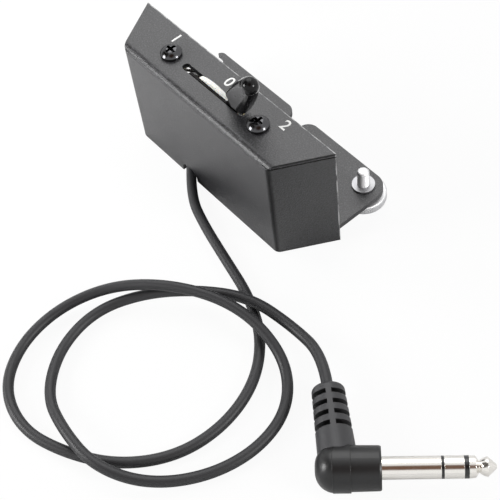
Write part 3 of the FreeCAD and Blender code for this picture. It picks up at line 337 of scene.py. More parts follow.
@dataclass(frozen=True)
class Finish:
    """A named finish of one main colour."""

    name: str
    colour: Colour

    def tone(self, share: float, more: float = 0.0) -> Colour:
        """The colour times a share, and as much more in each channel."""
        red, green, blue = (min(1.0, channel * share + more) for channel in self.colour)
        return red, green, blue


@dataclass(frozen=True)
class PowderCoat(Finish):
    """Baked powder paint: fine grain, worn bends, bare cut edges with a painted highlight, painted
    sheen and shade.
    """

    bare: Colour
    # Raw back edge's place across the cover and the width of its wear, which also paints the edge's
    # highlight, in design millimetres
    cut_plane: float
    cut_wear_and_glint: float = 0.0
    # The end flanges' open seams, painted black as shade: lower and upper height, least sideways
    # turn, depth
    seams: Sequence[tuple[float, float, float, float]] = ()
    # Half length and front plane of the cover beyond which its vertical corners carry a painted
    # dark reflection
    corner: tuple[float, float] | None = None
    painted_corner_top: float = 41.0
    painted_corner_depth: float = 0.85
    roughness: float = 0.38
    shine: float = 0.7
    grain: float = 0.5
    grain_depth: float = 0.11
    # Tones of the broad patches, of the grain's tops and of its pits
    patch_tone: float = 1.12
    top_tone: float = 3.2
    pit_tone: float = 0.3
    pit_share: float = 0.8
    # Share of the grain's pale tops that show on upright faces: faces that look up get all of them,
    # a painted sheen
    upright_share: float = 0.3
    bend_wear: float = 0.06
    bend_patches: float = 0.2
    # Width and strength of the bare cut line, which also stands for a painted highlight on the edge
    cut_bare_and_glint_band: float = 0.03
    cut_bare_and_glint_share: float = 0.85
    chip_and_glint_share: float = 0.75

    def make(self) -> Material:
        """Builds the paint.

        Returns:
            Its material.
        """
        recipe = Recipe(self.name)
        fine = recipe.noise(1 / (self.grain * MM), detail=2.0, rough=0.6)
        broad = recipe.noise(scale=90.0, detail=4.0)
        clouds = recipe.noise(scale=28.0, detail=3.0)
        patches = broad.rising(start=0.32, gain=2.2)
        shade = recipe.tint(patches, self.colour, self.tone(self.patch_tone))
        # Painted sheen: the pale grain tops are stronger on faces that look up
        upward_sheen = self.upright_share + recipe.facing("Z").held() * (1 - self.upright_share)
        grain_tops_and_sheen = fine.rising(start=0.53, gain=9.0) * upward_sheen
        shade = recipe.tint(grain_tops_and_sheen, shade, self.tone(self.top_tone))
        pits = fine.falling(end=0.47, gain=9.0) * self.pit_share
        shade = recipe.tint(pits, shade, self.tone(self.pit_tone))
        bends = recipe.edges(radius=0.3, gain=3.0) * (self.bend_wear + clouds * self.bend_patches)
        shade = recipe.tint(bends.held(), shade, self.bare)
        # The back cut edge: a bare line and worn chips, which also paint the edge's highlight
        back = self.cut_plane - SHIFT.y
        cut = recipe.axis("Y") > (back - self.cut_bare_and_glint_band) * MM
        shade = recipe.tint(cut * self.cut_bare_and_glint_share, shade, self.bare)
        if self.cut_wear_and_glint:
            near = recipe.axis("Y") > (back - self.cut_wear_and_glint) * MM
            chips_and_glint = recipe.noise(scale=260.0, detail=3.0).rising(start=0.36, gain=4.0)
            shade = recipe.tint(near * chips_and_glint * self.chip_and_glint_share, shade, self.bare)
        return recipe.finish({
            "Base Color": shade,
            "Roughness": self.roughness + broad.swing(0.1) + fine.swing(0.14),
            "Specular IOR Level": self.shine,
            "Normal": recipe.bumped(fine, self.grain_depth, recipe.softened(radius=0.25)),
        }, self.painted_shade(recipe))

    def painted_shade(self, recipe: Recipe) -> Value | None:
        """Mask of painted shade: black in the sheet's open seams at its ends and on its front
        vertical corners.

        Args:
            recipe: The material in the making.

        Returns:
            The mask, or None for a sheet without seams.
        """
        if not self.seams:
            return None
        height = recipe.axis("Z")
        ragged = recipe.noise(scale=700.0, detail=3.0).swing(0.35) * MM
        less_ragged = ragged * 0.3
        turn = recipe.facing("X")
        total: Value | float = 0.0
        # Painted shade in the open seams on the end flanges
        for low, high, least, depth in self.seams:
            within = (height > low * MM + ragged) * (height < high * MM + less_ragged)
            total = total + within * (turn * turn > least) * depth
        # Painted dark reflection on the front vertical corners, black below the corner top
        if self.corner:
            half_length, front_plane = self.corner
            along = recipe.axis("X") + SHIFT.x * MM
            beyond = ((along * along) ** 0.5 / MM - half_length).held()
            front = ((front_plane - SHIFT.y) - recipe.axis("Y") / MM).held()
            total = total + beyond * front * self.painted_corner_depth * (height < self.painted_corner_top * MM)
        return total


@dataclass(frozen=True)
class Plating(Finish):
    """Bright or dull metal plating, with turning lines, faint tarnish and soft edges."""

    roughness: float = 0.18
    lines: Sequence[float] = (1.0, 1.0, 1.0)
    line_depth: float = 0.004
    tarnish: float = 0.25
    tarnish_tone: float = 0.62
    edge_tone: float = 1.25
    edge_share: float = 0.4

    def make(self) -> Material:
        """Builds the plating.

        Returns:
            Its material.
        """
        recipe = Recipe(self.name)
        lines = recipe.noise(scale=900.0, detail=3.0, at=recipe.stretched(self.lines))
        blots = recipe.noise(scale=160.0, detail=4.0)
        stains = blots.rising(start=0.4, gain=self.tarnish * 2)
        shade = recipe.tint(stains, self.colour, self.tone(self.tarnish_tone))
        edge = recipe.edges(radius=0.2, gain=3.0) * self.edge_share
        shade = recipe.tint(edge, shade, self.tone(self.edge_tone))
        return recipe.finish({
            "Base Color": shade,
            "Metallic": 1.0,
            "Roughness": self.roughness + lines.swing(0.12) + blots.swing(0.18),
            "Normal": recipe.bumped(lines, self.line_depth, recipe.softened(radius=0.12)),
        })


@dataclass(frozen=True)
class Moulding(Finish):
    """Moulded plastic: fine orange peel or spark texture, paler rubbed edges, painted shade in
    hollows.
    """

    roughness: float = 0.4
    grain: float = 0.5
    grain_depth: float = 0.006
    coat: float = 0.0
    rubbed: float = 0.25
    edge_radius: float = 0.2
    glow: float = 0.0
    shine: float = 0.5
    # How dark the painted shade in the hollows is, and how far around them is looked, in
    # millimetres
    hollow_shade: float = 0.0
    reach: float = 2.2
    hollow_shade_black: Colour = (0.001, 0.001, 0.001)

    def make(self) -> Material:
        """Builds the plastic.

        Returns:
            Its material.
        """
        recipe = Recipe(self.name)
        peel = recipe.noise(1 / (self.grain * MM), detail=2.5)
        drift = recipe.noise(scale=70.0, detail=3.0)
        shade = recipe.tint(drift.rising(start=0.35, gain=1.2), self.colour, self.tone(share=0.8))
        edge = recipe.edges(self.edge_radius, gain=3.0) * self.rubbed
        pale = self.tone(share=1.7, more=0.01)
        shade = self.marked(recipe, recipe.tint(edge, shade, pale))
        # Painted shade: darker where ambient occlusion finds a hollow
        if self.hollow_shade:
            sockets = {"Distance": self.reach * MM}
            openness = recipe.add("ShaderNodeAmbientOcclusion", {"samples": 8}, sockets, "AO")
            dark = openness.falling(end=0.62, gain=4.0) * self.hollow_shade
            shade = recipe.tint(dark, shade, self.hollow_shade_black)
        rough = self.roughness + drift.swing(0.1) + peel.swing(0.06) + self.dulled(recipe)
        relief = recipe.bumped(peel, self.grain_depth, recipe.softened(self.edge_radius))
        return recipe.finish({
            "Base Color": shade,
            "Roughness": rough,
            "Specular IOR Level": self.shine,
            "Coat Weight": self.coat,
            "Coat Roughness": 0.06,
            "Subsurface Weight": self.glow,
            "Subsurface Radius": (0.004, 0.003, 0.002),
            "Subsurface Scale": 0.3,
            "Normal": relief,
        })

    def marked(self, recipe: Recipe, shade: Value) -> Value:
        """Colour with the piece's own marks or painted light: plain plastic has none."""
        return shade

    def dulled(self, recipe: Recipe) -> Value | float:
        """Roughness that handling has added: none on plain plastic."""
        return 0.0


@dataclass(frozen=True)
class HandledMoulding(Moulding):
    """Gloss plastic with dull flat faces square to the hinge, painted lighter as lit, and a painted
    rim highlight.
    """

    # Painted light: the lighter colour of the lit flat faces
    lit_flats: Colour = (0.075, 0.075, 0.077)
    dulling: float = 0.16
    # The lever's lean at rest in degrees, and where the flats' painted light and dulling end beside
    # it
    lean: float = 31.0
    lit_flat_end: float = -12.0
    # Colour and width of the painted highlight along the far face's rim
    rim: Colour = (0.55, 0.55, 0.55)
    rim_highlight_width: float = 0.7
    # Where the painted highlight on the rim starts across the cover, in design millimetres
    rim_highlight_from: float = -9.3

    def lit_and_dulled_flats(self, recipe: Recipe) -> Value:
        """Mask of the part of the flat faces that is painted lighter and made duller.

        Args:
            recipe: The material in the making.

        Returns:
            The mask.
        """
        across = recipe.facing("Y")
        lean = math.radians(self.lean)
        beside = (recipe.axis("X") * math.cos(lean) - recipe.axis("Z") * math.sin(lean)) / MM
        flat = (across * across).rising(start=0.72, gain=6.0)
        return flat * beside.falling(end=self.lit_flat_end, gain=2.5)

    def marked(self, recipe: Recipe, shade: Value) -> Value:
        """Colour with painted light on the flat faces and a painted highlight on the far face's
        rim.

        Args:
            recipe: The material in the making.
            shade: The plain colour.

        Returns:
            The marked one.
        """
        # Painted light on the flat faces, in patches
        patches = recipe.noise(scale=240.0, detail=3.0) * 0.5 + 0.6
        shade = recipe.tint((self.lit_and_dulled_flats(recipe) * patches).held(), shade, self.lit_flats)
        # Painted highlight along the far face's edge
        far = (recipe.axis("Y") / MM).rising(start=self.rim_highlight_from - SHIFT.y, gain=2.0)
        return recipe.tint(recipe.edges(self.rim_highlight_width, gain=9.0) * far, shade, self.rim)

    def dulled(self, recipe: Recipe) -> Value | float:
        """Roughness that handling has added to the flats."""
        return self.lit_and_dulled_flats(recipe) * self.dulling


@dataclass(frozen=True)
class SeamedMoulding(Moulding):
    """Moulded plastic with dark parting seams round the plug's axis, and rubbed smears."""

    # Distances behind the plug's face, and half a seam's width, in millimetres
    seams: Sequence[float] = (8.35, 13.1)
    seam_width: float = 0.16
    seam_tone: float = 0.15
    seam_share: float = 0.85
    smear_tone: float = 0.45
    smear_share: float = 0.5

    def marked(self, recipe: Recipe, shade: Value) -> Value:
        """Colour with the seams, and with smears ahead of the first of them.

        Args:
            recipe: The material in the making.
            shade: The plain colour.

        Returns:
            The marked one.
        """
        turn = math.radians(PLUG_HEADING)
        way = (math.cos(turn), math.sin(turn), 0.0)
        behind = placed(*PLUG_FACE).dot(Vector(way)) - recipe.dot(recipe.place(), way)
        smears = recipe.noise(scale=420.0, detail=4.0, rough=0.65).rising(start=0.5, gain=5.0)
        front = (behind < self.seams[0] * MM) * smears * self.smear_share
        shade = recipe.tint(front, shade, self.tone(self.smear_tone))
        for seam in self.seams:
            off = (behind - seam * MM) / (self.seam_width * MM)
            line = (1 - off * off).held() * self.seam_share
            shade = recipe.tint(line, shade, self.tone(self.seam_tone))
        return shade


@dataclass(frozen=True)
class Sheath(Finish):
    """Extruded flexible jacket: satin, with a fine skin, dust and bloom."""

    roughness: float = 0.48
    bloom_tone: float = 1.35
    dust_tone: float = 3.0
    dust_share: float = 0.35

    def make(self) -> Material:
        """Builds the jacket.

        Returns:
            Its material.
        """
        recipe = Recipe(self.name)
        skin = recipe.noise(scale=2600.0, detail=2.0)
        bloom = recipe.noise(scale=120.0, detail=5.0)
        pale = bloom.rising(start=0.35, gain=1.5)
        shade = recipe.tint(pale, self.colour, self.tone(self.bloom_tone))
        dust = recipe.noise(scale=5200.0, detail=1.0).rising(start=0.69, gain=9.0)
        shade = recipe.tint(dust * self.dust_share, shade, self.tone(self.dust_tone))
        return recipe.finish({
            "Base Color": shade,
            "Roughness": self.roughness + bloom.swing(0.16),
            "Normal": recipe.bumped(skin, depth=0.008),
        })


@dataclass(frozen=True)
class Board(Finish):
    """Pressed paper board with its fibres."""

    roughness: float = 0.5
    fibre_tone: float = 1.6
    edge_tone: float = 2.2
    edge_share: float = 0.5

    def make(self) -> Material:
        """Builds the board.

        Returns:
            Its material.
        """
        recipe = Recipe(self.name)
        grain = recipe.stretched((1.0, 1.0, 3.0))
        fibres = recipe.noise(scale=900.0, detail=5.0, at=grain, rough=0.7)
        pale = fibres.rising(start=0.4, gain=2.5)
        shade = recipe.tint(pale, self.colour, self.tone(self.fibre_tone))
        edge = recipe.edges(radius=0.15, gain=3.0) * self.edge_share
        shade = recipe.tint(edge, shade, self.tone(self.edge_tone))
        return recipe.finish({
            "Base Color": shade,
            "Roughness": self.roughness + fibres.swing(0.3),
            "Normal": recipe.bumped(fibres, 0.02, recipe.softened(radius=0.1)),
        })


@dataclass(frozen=True)
class Ink(Finish):
    """Screen-printed ink, thin enough to take the paint's grain."""

    roughness: float = 0.55
    thin_tone: float = 0.75

    def make(self) -> Material:
        """Builds the ink.

        Returns:
            Its material.
        """
        recipe = Recipe(self.name)
        grain = recipe.noise(scale=2800.0, detail=2.0)
        thin = recipe.noise(scale=1500.0, detail=2.0).rising(start=0.45, gain=1.2)
        shade = recipe.tint(thin, self.colour, self.tone(self.thin_tone))
        return recipe.finish({
            "Base Color": shade,
            "Roughness": self.roughness + grain.swing(0.2),
            "Normal": recipe.bumped(grain, depth=0.01),
        })


@dataclass(frozen=True)
class Table:
    """White seamless table top that keeps the object's shadow."""

    name: str
    lift: float = 0.93
    dark: Colour = (0.86, 0.86, 0.86)
    pale: Colour = (0.88, 0.88, 0.88)

    def make(self) -> Material:
        """Builds the table top's paint, lifted to white for the camera.

        Returns:
            Its material.
        """
        recipe = Recipe(self.name)
        shade = recipe.tint(recipe.noise(scale=40.0, detail=3.0), self.dark, self.pale)
        lit = recipe.add("ShaderNodeBsdfDiffuse", sockets={"Color": shade})
        glow = recipe.add("ShaderNodeEmission", sockets={"Color": WHITE, "Strength": 1.0})
        seen = recipe.add("ShaderNodeLightPath", output="Is Camera Ray")
        shades = {0: seen * self.lift, 1: lit, 2: glow}
        return recipe.end(recipe.add("ShaderNodeMixShader", sockets=shades))


def linked(name: str, data: bpy.types.ID) -> bpy.types.Object:
    """Adds an object to the scene.

    Args:
        name: Its name.
        data: Its data.

    Returns:
        The object.
    """
    item = bpy.data.objects.new(name, data)
    bpy.context.scene.collection.objects.link(item)
    return item


def joined(name: str, build: Callable[[bmesh.types.BMesh], None]) -> bpy.types.Object:
    """Object whose mesh a function fills.

    Args:
        name: The object's name.
        build: Function that adds to an empty bmesh, in metres in the part's frame.

    Returns:
        The object, smooth-shaded and linked to the scene.
    """
    mesh = bpy.data.meshes.new(name)
    work = bmesh.new()
    build(work)
    bmesh.ops.recalc_face_normals(work, faces=work.faces)
    work.to_mesh(mesh)
    work.free()
    for polygon in mesh.polygons:
        polygon.use_smooth = True
    return linked(name, mesh)


def flexible(
    name: str, points: Sequence[Vector], diameter: float, material: Material
) -> bpy.types.Object:
    """Round flexible piece on a NURBS line.

    Args:
        name: The object's name.
        points: Control points in metres.
        diameter: Its diameter in millimetres.
        material: Its finish.

    Returns:
        The curve object.
    """
    curve = bpy.data.curves.new(name, "CURVE")
    curve.dimensions = "3D"
    curve.bevel_depth = diameter / 2 * MM
    curve.bevel_resolution = ROUND_STEPS
    curve.use_fill_caps = True
    curve.resolution_u = LINE_STEPS
    spline = curve.splines.new("NURBS")
    spline.points.add(len(points) - 1)
    for point, spot in zip(spline.points, points):
        point.co = (*spot, 1.0)
    spline.order_u = LINE_ORDER
    spline.use_endpoint_u = True
    curve.materials.append(material)
    return linked(name, curve)


def dress(nodes: Sequence[str], material: Material) -> None:
    """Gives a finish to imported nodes.

    Args:
        nodes: Their names.
        material: The finish.
    """
    for node in nodes:
        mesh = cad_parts[node].data
        mesh.materials.clear()
        mesh.materials.append(material)
        LOG.info("%s wears %s", node, material.name)


@dataclass(frozen=True)
class Sky:
    """Soft even light, seen by the camera and in mirrors as white walls with openings."""

    name: str
    strength: float = 0.2
    # Each opening's direction, its half angle in degrees and the room's colour in it
    openings: Sequence[tuple[Spot, float, Colour]] = (
        ((0.36, -0.26, 0.896), 22.0, (0.17, 0.10, 0.07)),
        ((-0.5, -0.55, 0.67), 30.0, (0.10, 0.09, 0.08)),
    )
    sharpness: float = 12.0

    def make(self) -> bpy.types.World:
        """Builds the world.

        Returns:
            The world.
        """
        recipe = Recipe(self.name, world=True)
        dim = {"Color": WHITE, "Strength": self.strength}
        light = recipe.add("ShaderNodeBackground", sockets=dim)
        way = recipe.add("ShaderNodeTexCoord", output="Generated")
        scenery: object = WHITE[:3]
        for direction, half_angle, room in self.openings:
            rim = math.cos(math.radians(half_angle))
            inside = (recipe.dot(way, direction) - rim) * self.sharpness + 0.5
            scenery = recipe.tint(inside.held(), scenery, room)
        wall = recipe.add("ShaderNodeBackground", sockets={"Color": scenery, "Strength": 1.0})
        seen = recipe.add("ShaderNodeLightPath", output="Is Camera Ray")
        for kind in ("Is Glossy Ray", "Is Transmission Ray"):
            seen = seen + recipe.add("ShaderNodeLightPath", output=kind)
        shades = {0: seen.held(), 1: light, 2: wall}
        return recipe.end(recipe.add("ShaderNodeMixShader", sockets=shades))


@dataclass(frozen=True)
class Lamp:
    """Square area lamp that faces the object: place and side in metres, power in watts."""

    name: str
    spot: Spot
    size: float
    power: float
    # Whether it shows in reflections
    mirrored: bool = True
    aim: Spot = (0.0, -0.02, 0.03)

    def make(self) -> None:
        """Hangs the lamp."""
        data = bpy.data.lights.new(self.name, "AREA")
        data.size = self.size
        data.energy = self.power
        item = linked(self.name, data)
        item.location = self.spot
        item.visible_glossy = self.mirrored
        toward = Vector(self.aim) - item.location
        item.rotation_mode = "QUATERNION"
        item.rotation_quaternion = toward.to_track_quat("-Z", "Y")


@dataclass
class Studio:
    """Camera, white table and soft lights."""

    # Camera axes and place found from the box's own edges in the photograph, the place in
    # units of 0.91 mm from the middle of the top's back edge
    right: Spot = (0.64333, 0.76026, -0.09018)
    up: Spot = (-0.58436, 0.56373, 0.58372)
    back: Spot = (0.49462, -0.32283, 0.80693)
    aim: Spot = (4.596, -60.099, 416.961)
    unit: float = 0.91
    origin: Spot = (0.0, 0.0, 42.53)
    lens: float = 88.2
    sensor: float = 36.0
    table_half: float = 1.5
    # The last lamp lights the table before the left end, which the front wall mirrors
    lamps: Sequence[Lamp] = (
        Lamp("overhead_lamp", (-0.55, 0.42, 0.95), 0.9, 5.2),
        Lamp("front_box", (-0.34, -0.62, 0.34), 0.27, 3.6),
        Lamp("right_box", (0.62, 0.2, 0.38), 0.19, 2.2),
        Lamp("table_lamp", (-0.24, -0.14, 0.12), 0.13, 0.68, mirrored=False),
    )

    def make(self) -> None:
        """Sets up the camera first, then the table and the lights."""
        self.make_camera()
        self.make_table()
        bpy.context.scene.world = Sky("white_studio").make()
        for lamp in self.lamps:
            lamp.make()
        bpy.context.scene.view_settings.view_transform = "Standard"
        LOG.info("studio ready")

    def make_camera(self) -> None:
        """Camera at the photograph's angle."""
        data = bpy.data.cameras.new("camera")
        data.lens = self.lens
        data.sensor_width = self.sensor
        data.clip_start, data.clip_end = 0.01, 10.0
        camera = linked("camera", data)
        axes = [Vector(axis) for axis in (self.right, self.up, self.back)]
        turn = Matrix([axis.normalized() for axis in axes]).transposed()
        offset = Vector()
        for axis, along in zip(axes, Vector(self.aim)):
            offset += axis * along
        spot = placed(*self.origin) + offset * self.unit * MM
        camera.matrix_world = Matrix.Translation(spot) @ turn.to_4x4()
        bpy.context.scene.camera = camera

    def make_table(self) -> None:
        """Table top on the floor plane."""
        half = self.table_half

        def build(work: bmesh.types.BMesh) -> None:
            """Adds its four corners."""
            corners = [(-half, -half, 0), (half, -half, 0), (half, half, 0), (-half, half, 0)]
            work.faces.new([work.verts.new(corner) for corner in corners])

        table = joined("table_top", build)
        table.data.materials.append(Table("white_table").make())


@dataclass
class Lead:
    """The lead from the notch to the plug's boot, and the stretch that the box holds."""

    diameter: float = 3.4
    length: float = 530.7
    # Control points in design millimetres, as in the part's source
    route: Sequence[Spot] = (
        (-1.0, -24.3, 1.8), (11.5, -28.6, 1.8), (27.0, -32.3, 1.8),
        (43.0, -36.0, 1.8), (57.0, -42.8, 1.8), (67.5, -54.5, 1.8),
        (72.2, -70.0, 1.8), (70.5, -86.0, 1.8), (61.5, -100.0, 1.8),
        (48.0, -109.3, 1.8), (32.5, -114.8, 1.8), (17.0, -111.0, 1.8),
        (7.5, -98.5, 1.8), (5.3, -82.5, 2.6), (11.5, -67.0, 5.6),
        (24.3, -55.5, 9.2), (40.0, -46.2, 10.0), (55.0, -42.3, 8.2),
        (70.0, -43.8, 3.4), (81.0, -53.5, 1.8), (84.6, -68.5, 1.8),
        (81.0, -84.5, 1.8), (71.5, -98.5, 2.8), (58.5, -106.5, 6.0),
        (43.0, -106.3, 5.4), (28.0, -102.8, 1.9), (17.2, -90.5, 1.8),
        (13.7, -74.5, 2.0), (20.3, -59.8, 3.8), (32.5, -47.2, 6.0),
        (46.0, -37.5, 6.2), (61.5, -34.2, 4.0),
    )
    # The bend inside the notch, and how far toward it the free stretch starts
    turn: Spot = (-14.6, -12.9, 2.2)
    start_share: float = 0.728
    inside: Sequence[Spot] = (
        (-20.632, -9.2, 6.003), (-25.0, -8.0, 9.7), (-33.5, -8.0, 9.7),
    )
    # The boot's lean off square in degrees, its place behind the face, its length and the
    # lead's straight run into it
    boot_lean: float = 6.5
    elbow_back: float = 11.6
    boot_reach: float = 25.6
    last_run: float = 11.0

    def make(self, finishes: Finishes) -> None:
        """Args:
            finishes: The object's finishes.
        """
        jacket = finishes.jacket.make()
        turn = math.radians(PLUG_HEADING)
        ahead = Vector((math.cos(turn), math.sin(turn), 0))
        angle = math.radians(PLUG_HEADING + 90 + self.boot_lean)
        boot = Vector((math.cos(angle), math.sin(angle), 0))
        boot_end = Vector(PLUG_FACE) - ahead * self.elbow_back + boot * self.boot_reach
        first = Vector(self.route[0])
        start = first + (Vector(self.turn) - first) * self.start_share
        last = [boot_end + boot * self.last_run, boot_end]
        points = [placed(*spot) for spot in (start, *self.route, *last)]
        cord = flexible("lead", points, self.diameter, jacket)
        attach(cord, "housing")
        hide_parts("cord")
        held = [placed(*spot) for spot in (start, self.turn, *self.inside)]
        tail = flexible("lead_inside", held, self.diameter, jacket)
        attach(tail, "housing")
        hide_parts("cord_lead_in")
        LOG.info("lead laid")


@dataclass
class Wiring:
    """The lead's three wires, up the left ear and along the frame to the blades, and the jumper."""

    diameter: float = 1.0
    # Largest distance of the guide points before and after a corner
    guide: float = 3.0
    # Corners of each wire in design millimetres, as in the part's source
    tip: Sequence[Spot] = (
        (-33.5, -9.05, 9.7), (-35.3, -9.05, 9.7), (-34.8, -7.05, 23.7),
        (-15.3, -2.3, 31.4), (-9.0, -2.3, 32.9), (-9.0, -4.95, 32.9),
    )
    sleeve: Sequence[Spot] = (
        (-33.5, -8.0, 9.7), (-35.3, -8.0, 9.7), (-34.8, -5.0, 23.7),
        (-15.3, -2.3, 33.6), (-5.55, -2.3, 35.1), (-5.55, -4.95, 35.1),
    )
    ring: Sequence[Spot] = (
        (-33.5, -6.95, 9.7), (-35.3, -6.95, 9.7), (-34.8, -2.95, 23.7),
        (-15.3, -2.3, 35.8), (9.0, -2.3, 37.3), (9.0, -4.95, 37.3),
    )
    jumper: Sequence[Spot] = (
        (-5.55, -4.95, 32.9), (-5.55, -2.3, 32.9), (5.55, -2.3, 32.9),
        (5.55, -4.95, 32.9),
    )

    def make(self, finishes: Finishes) -> None:
        """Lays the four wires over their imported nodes.

        Args:
            finishes: The object's finishes.
        """
        tinned = finishes.wire_tinned.make()
        self.lay("wire_tip", self.tip, finishes.wire_white.make())
        self.lay("wire_ring", self.ring, finishes.wire_red.make())
        self.lay("wire_sleeve", self.sleeve, tinned)
        self.lay("jumper_wire", self.jumper, tinned)
        LOG.info("wires laid")

    def lay(self, node: str, corners: Sequence[Spot], material: Material) -> None:
        """Lays one wire.

        Args:
            node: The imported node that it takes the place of.
            corners: Its corners in design millimetres.
            material: Its finish.
        """
        spots = [Vector(corner) for corner in corners]
        points = [spots[0]]
        for before, corner, after in zip(spots, spots[1:], spots[2:]):
            for other in (before, after):
                away = other - corner
                points.append(corner + away.normalized() * min(self.guide, away.length / 2))
                if other is before:
                    points.append(corner)
        points.append(spots[-1])
        line = [placed(*spot) for spot in points]
        wire = flexible(node + "_line", line, self.diameter, material)
        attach(wire, "housing")
        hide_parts(node)


class Surface(Enum):
    """What a row of the thumbscrew's turned form carries."""

    PLAIN = "plain"
    KNURL = "knurl"
    THREAD = "thread"


@dataclass
class CaptiveThumbscrew:
    """Thumbscrew with its knurled head and threaded stud."""

    x: float = 39.0
    y: float = 16.3
    head_low: float = 1.7
    head_high: float = 5.1
    head_radius: float = 7.5
    # The head's softened edges: each row's way in from the flat face and from the rim
    low_edge: Sequence[tuple[float, float]] = ((0.0, 0.7), (0.05, 0.6), (0.42, 0.1), (0.6, 0.0))
    high_edge: Sequence[tuple[float, float]] = ((0.6, 0.0), (0.24, 0.12), (0.04, 0.42), (0.0, 0.6))
    ridges: int = 72
    ridge_depth: float = 0.16
    collar_top: float = 5.8
    collar_radius: float = 4.2
    bevel: float = 0.1
    stud_radius: float = 2.0
    retainer_low: float = 8.0
    groove_radius: float = 1.7
    retainer_high: float = 8.7
    stud_top: float = 14.9
    # The stud's chamfered end: each row's way in from its top and from its side
    tip: Sequence[tuple[float, float]] = ((0.1, 0.45), (0.0, 0.6))
    thread_pitch: float = 0.7
    thread_depth: float = 0.3
    thread_rows: int = 64
    # What steepens a flank and what flattens its root
    flank_gain: float = 1.25
    flank_cut: float = 0.1
    # How far under the stud's top the thread's rows and its depth end, and where it fades
    rows_end: float = 0.5
    thread_end: float = 0.45
    thread_fade: float = 0.5
    steps: int = 432

    def make(self, finishes: Finishes) -> None:
        """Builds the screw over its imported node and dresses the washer.

        Args:
            finishes: The object's finishes.
        """
        screw = joined("captive_thumbscrew", self.turn)
        screw.data.materials.append(finishes.stud_zinc.make())
        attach(screw, "thumbscrew_body")
        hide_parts("thumbscrew")
        dress(["thumbscrew_retainer"], finishes.washer.make())
        LOG.info("thumbscrew made")

    def turn(self, work: bmesh.types.BMesh) -> None:
        """Turns the rows round the screw's axis and closes both ends.

        Args:
            work: The empty bmesh.
        """
        foot = placed(self.x, self.y, 0)
        upward = Vector((0, 0, 1))
        across = upward.orthogonal().normalized()
        third = upward.cross(across)
        rings = []
        for along, out, surface in self.rows():
            ring = []
            for step in range(self.steps):
                angle = 2 * math.pi * step / self.steps
                way = across * math.cos(angle) + third * math.sin(angle)
                reach = (out - self.depth(along, angle, surface)) * MM
                ring.append(work.verts.new(foot + upward * along * MM + way * reach))
            rings.append(ring)
        for low, high in zip(rings, rings[1:]):
            for step in range(self.steps):
                after = (step + 1) % self.steps
                work.faces.new((low[step], low[after], high[after], high[step]))
        work.faces.new(rings[0])
        work.faces.new(rings[-1])

    def depth(self, along: float, angle: float, surface: Surface) -> float:
        """How deep the knurl or the thread is at a place.

        Args:
            along: Its height in millimetres.
            angle: Its angle in radians.
            surface: What it carries.

        Returns:
            The depth in millimetres.
        """
        if surface is Surface.KNURL:
            return self.ridge_depth * (0.5 - 0.5 * math.cos(self.ridges * angle))
        if surface is Surface.THREAD:
            turns = along / self.thread_pitch - angle / (2 * math.pi)
            flank = abs((turns % 1.0) * 2 - 1)
            cut = max(0.0, min(1.0, flank * self.flank_gain - self.flank_cut))
            left = (self.stud_top - self.thread_end - along) / self.thread_fade
            return self.thread_depth * cut * max(0.0, min(1.0, left))
        return 0.0

    def rows(self) -> list[tuple[float, float, Surface]]:
        """Plans the turned form.

        Returns:
            Height, radius and surface of each row, from the head to the stud's top.
        """
        plain, bevel = Surface.PLAIN, self.bevel
        head = [(self.head_low + inset, inward) for inset, inward in self.low_edge]
        head += [(self.head_high - inset, inward) for inset, inward in self.high_edge]
        rows = [
            (along, self.head_radius - inward, plain if inward else Surface.KNURL)
            for along, inward in head
        ]
        rows += [
            (self.head_high, self.collar_radius + bevel, plain),
            (self.head_high + bevel, self.collar_radius, plain),
            (self.collar_top - bevel, self.collar_radius, plain),
            (self.collar_top, self.collar_radius - bevel, plain),
            (self.collar_top, self.stud_radius, plain),
            (self.retainer_low, self.stud_radius, plain),
            (self.retainer_low, self.groove_radius, plain),
            (self.retainer_high, self.groove_radius, plain),
            (self.retainer_high, self.stud_radius, plain),
        ]
        low = self.retainer_high + bevel
        high = self.stud_top - self.rows_end
        for step in range(self.thread_rows + 1):
            along = low + (high - low) * step / self.thread_rows
            rows.append((along, self.stud_radius, Surface.THREAD))
        for inset, inward in self.tip:
            rows.append((self.stud_top - inset, self.stud_radius - inward, plain))
        return rows


@dataclass
class Housing:
    """Painted cover and bracket, their screws and the numerals at the lever's positions."""

    top: float = 42.5
    numeral_height: float = 3.8
    # A numeral's height as a share of its type's size, and what widens its strokes
    height_share: float = 0.69
    stroke: float = 0.06
    ink_thickness: float = 0.02
    numerals: Sequence[tuple[str, float, float]] = (
        ("1", -25.6, -3.9),
        ("0", 1.2, -4.0),
        ("2", 26.8, -3.4),
    )

    def make(self, finishes: Finishes) -> None:
        """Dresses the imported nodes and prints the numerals.

        Args:
            finishes: The object's finishes.
        """
        dress(["cover"], finishes.paint.make())
        dress(["mounting_bracket"], finishes.bracket_paint.make())
        dress(["panel_screws"], finishes.black_screw.make())
        ink = finishes.ink.make()
        for text, x, y in self.numerals:
            self.print_numeral(text, x, y, ink)
        LOG.info("housing dressed")

    def print_numeral(self, text: str, x: float, y: float, material: Material) -> None:
        """Prints one numeral on the cover's top.

        Args:
            text: The numeral.
            x: Its middle along the cover, in design millimetres.
            y: Its middle across the cover.
            material: The ink.
        """
        curve = bpy.data.curves.new("numeral", "FONT")
        curve.body = text
        curve.size = self.numeral_height / self.height_share * MM
        curve.align_x = "CENTER"
        curve.align_y = "CENTER"
        curve.extrude = self.ink_thickness / 2 * MM
        curve.offset = self.stroke * MM
        letter = linked("numeral", curve)
        bpy.context.view_layer.update()
        mesh = bpy.data.meshes.new_from_object(letter)
        bpy.data.objects.remove(letter)
        mesh.transform(Matrix.Translation(placed(x, y, self.top + self.ink_thickness / 2)))
        mesh.materials.clear()
        mesh.materials.append(material)
        item = linked("numeral_" + text, mesh)
        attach(item, "housing")


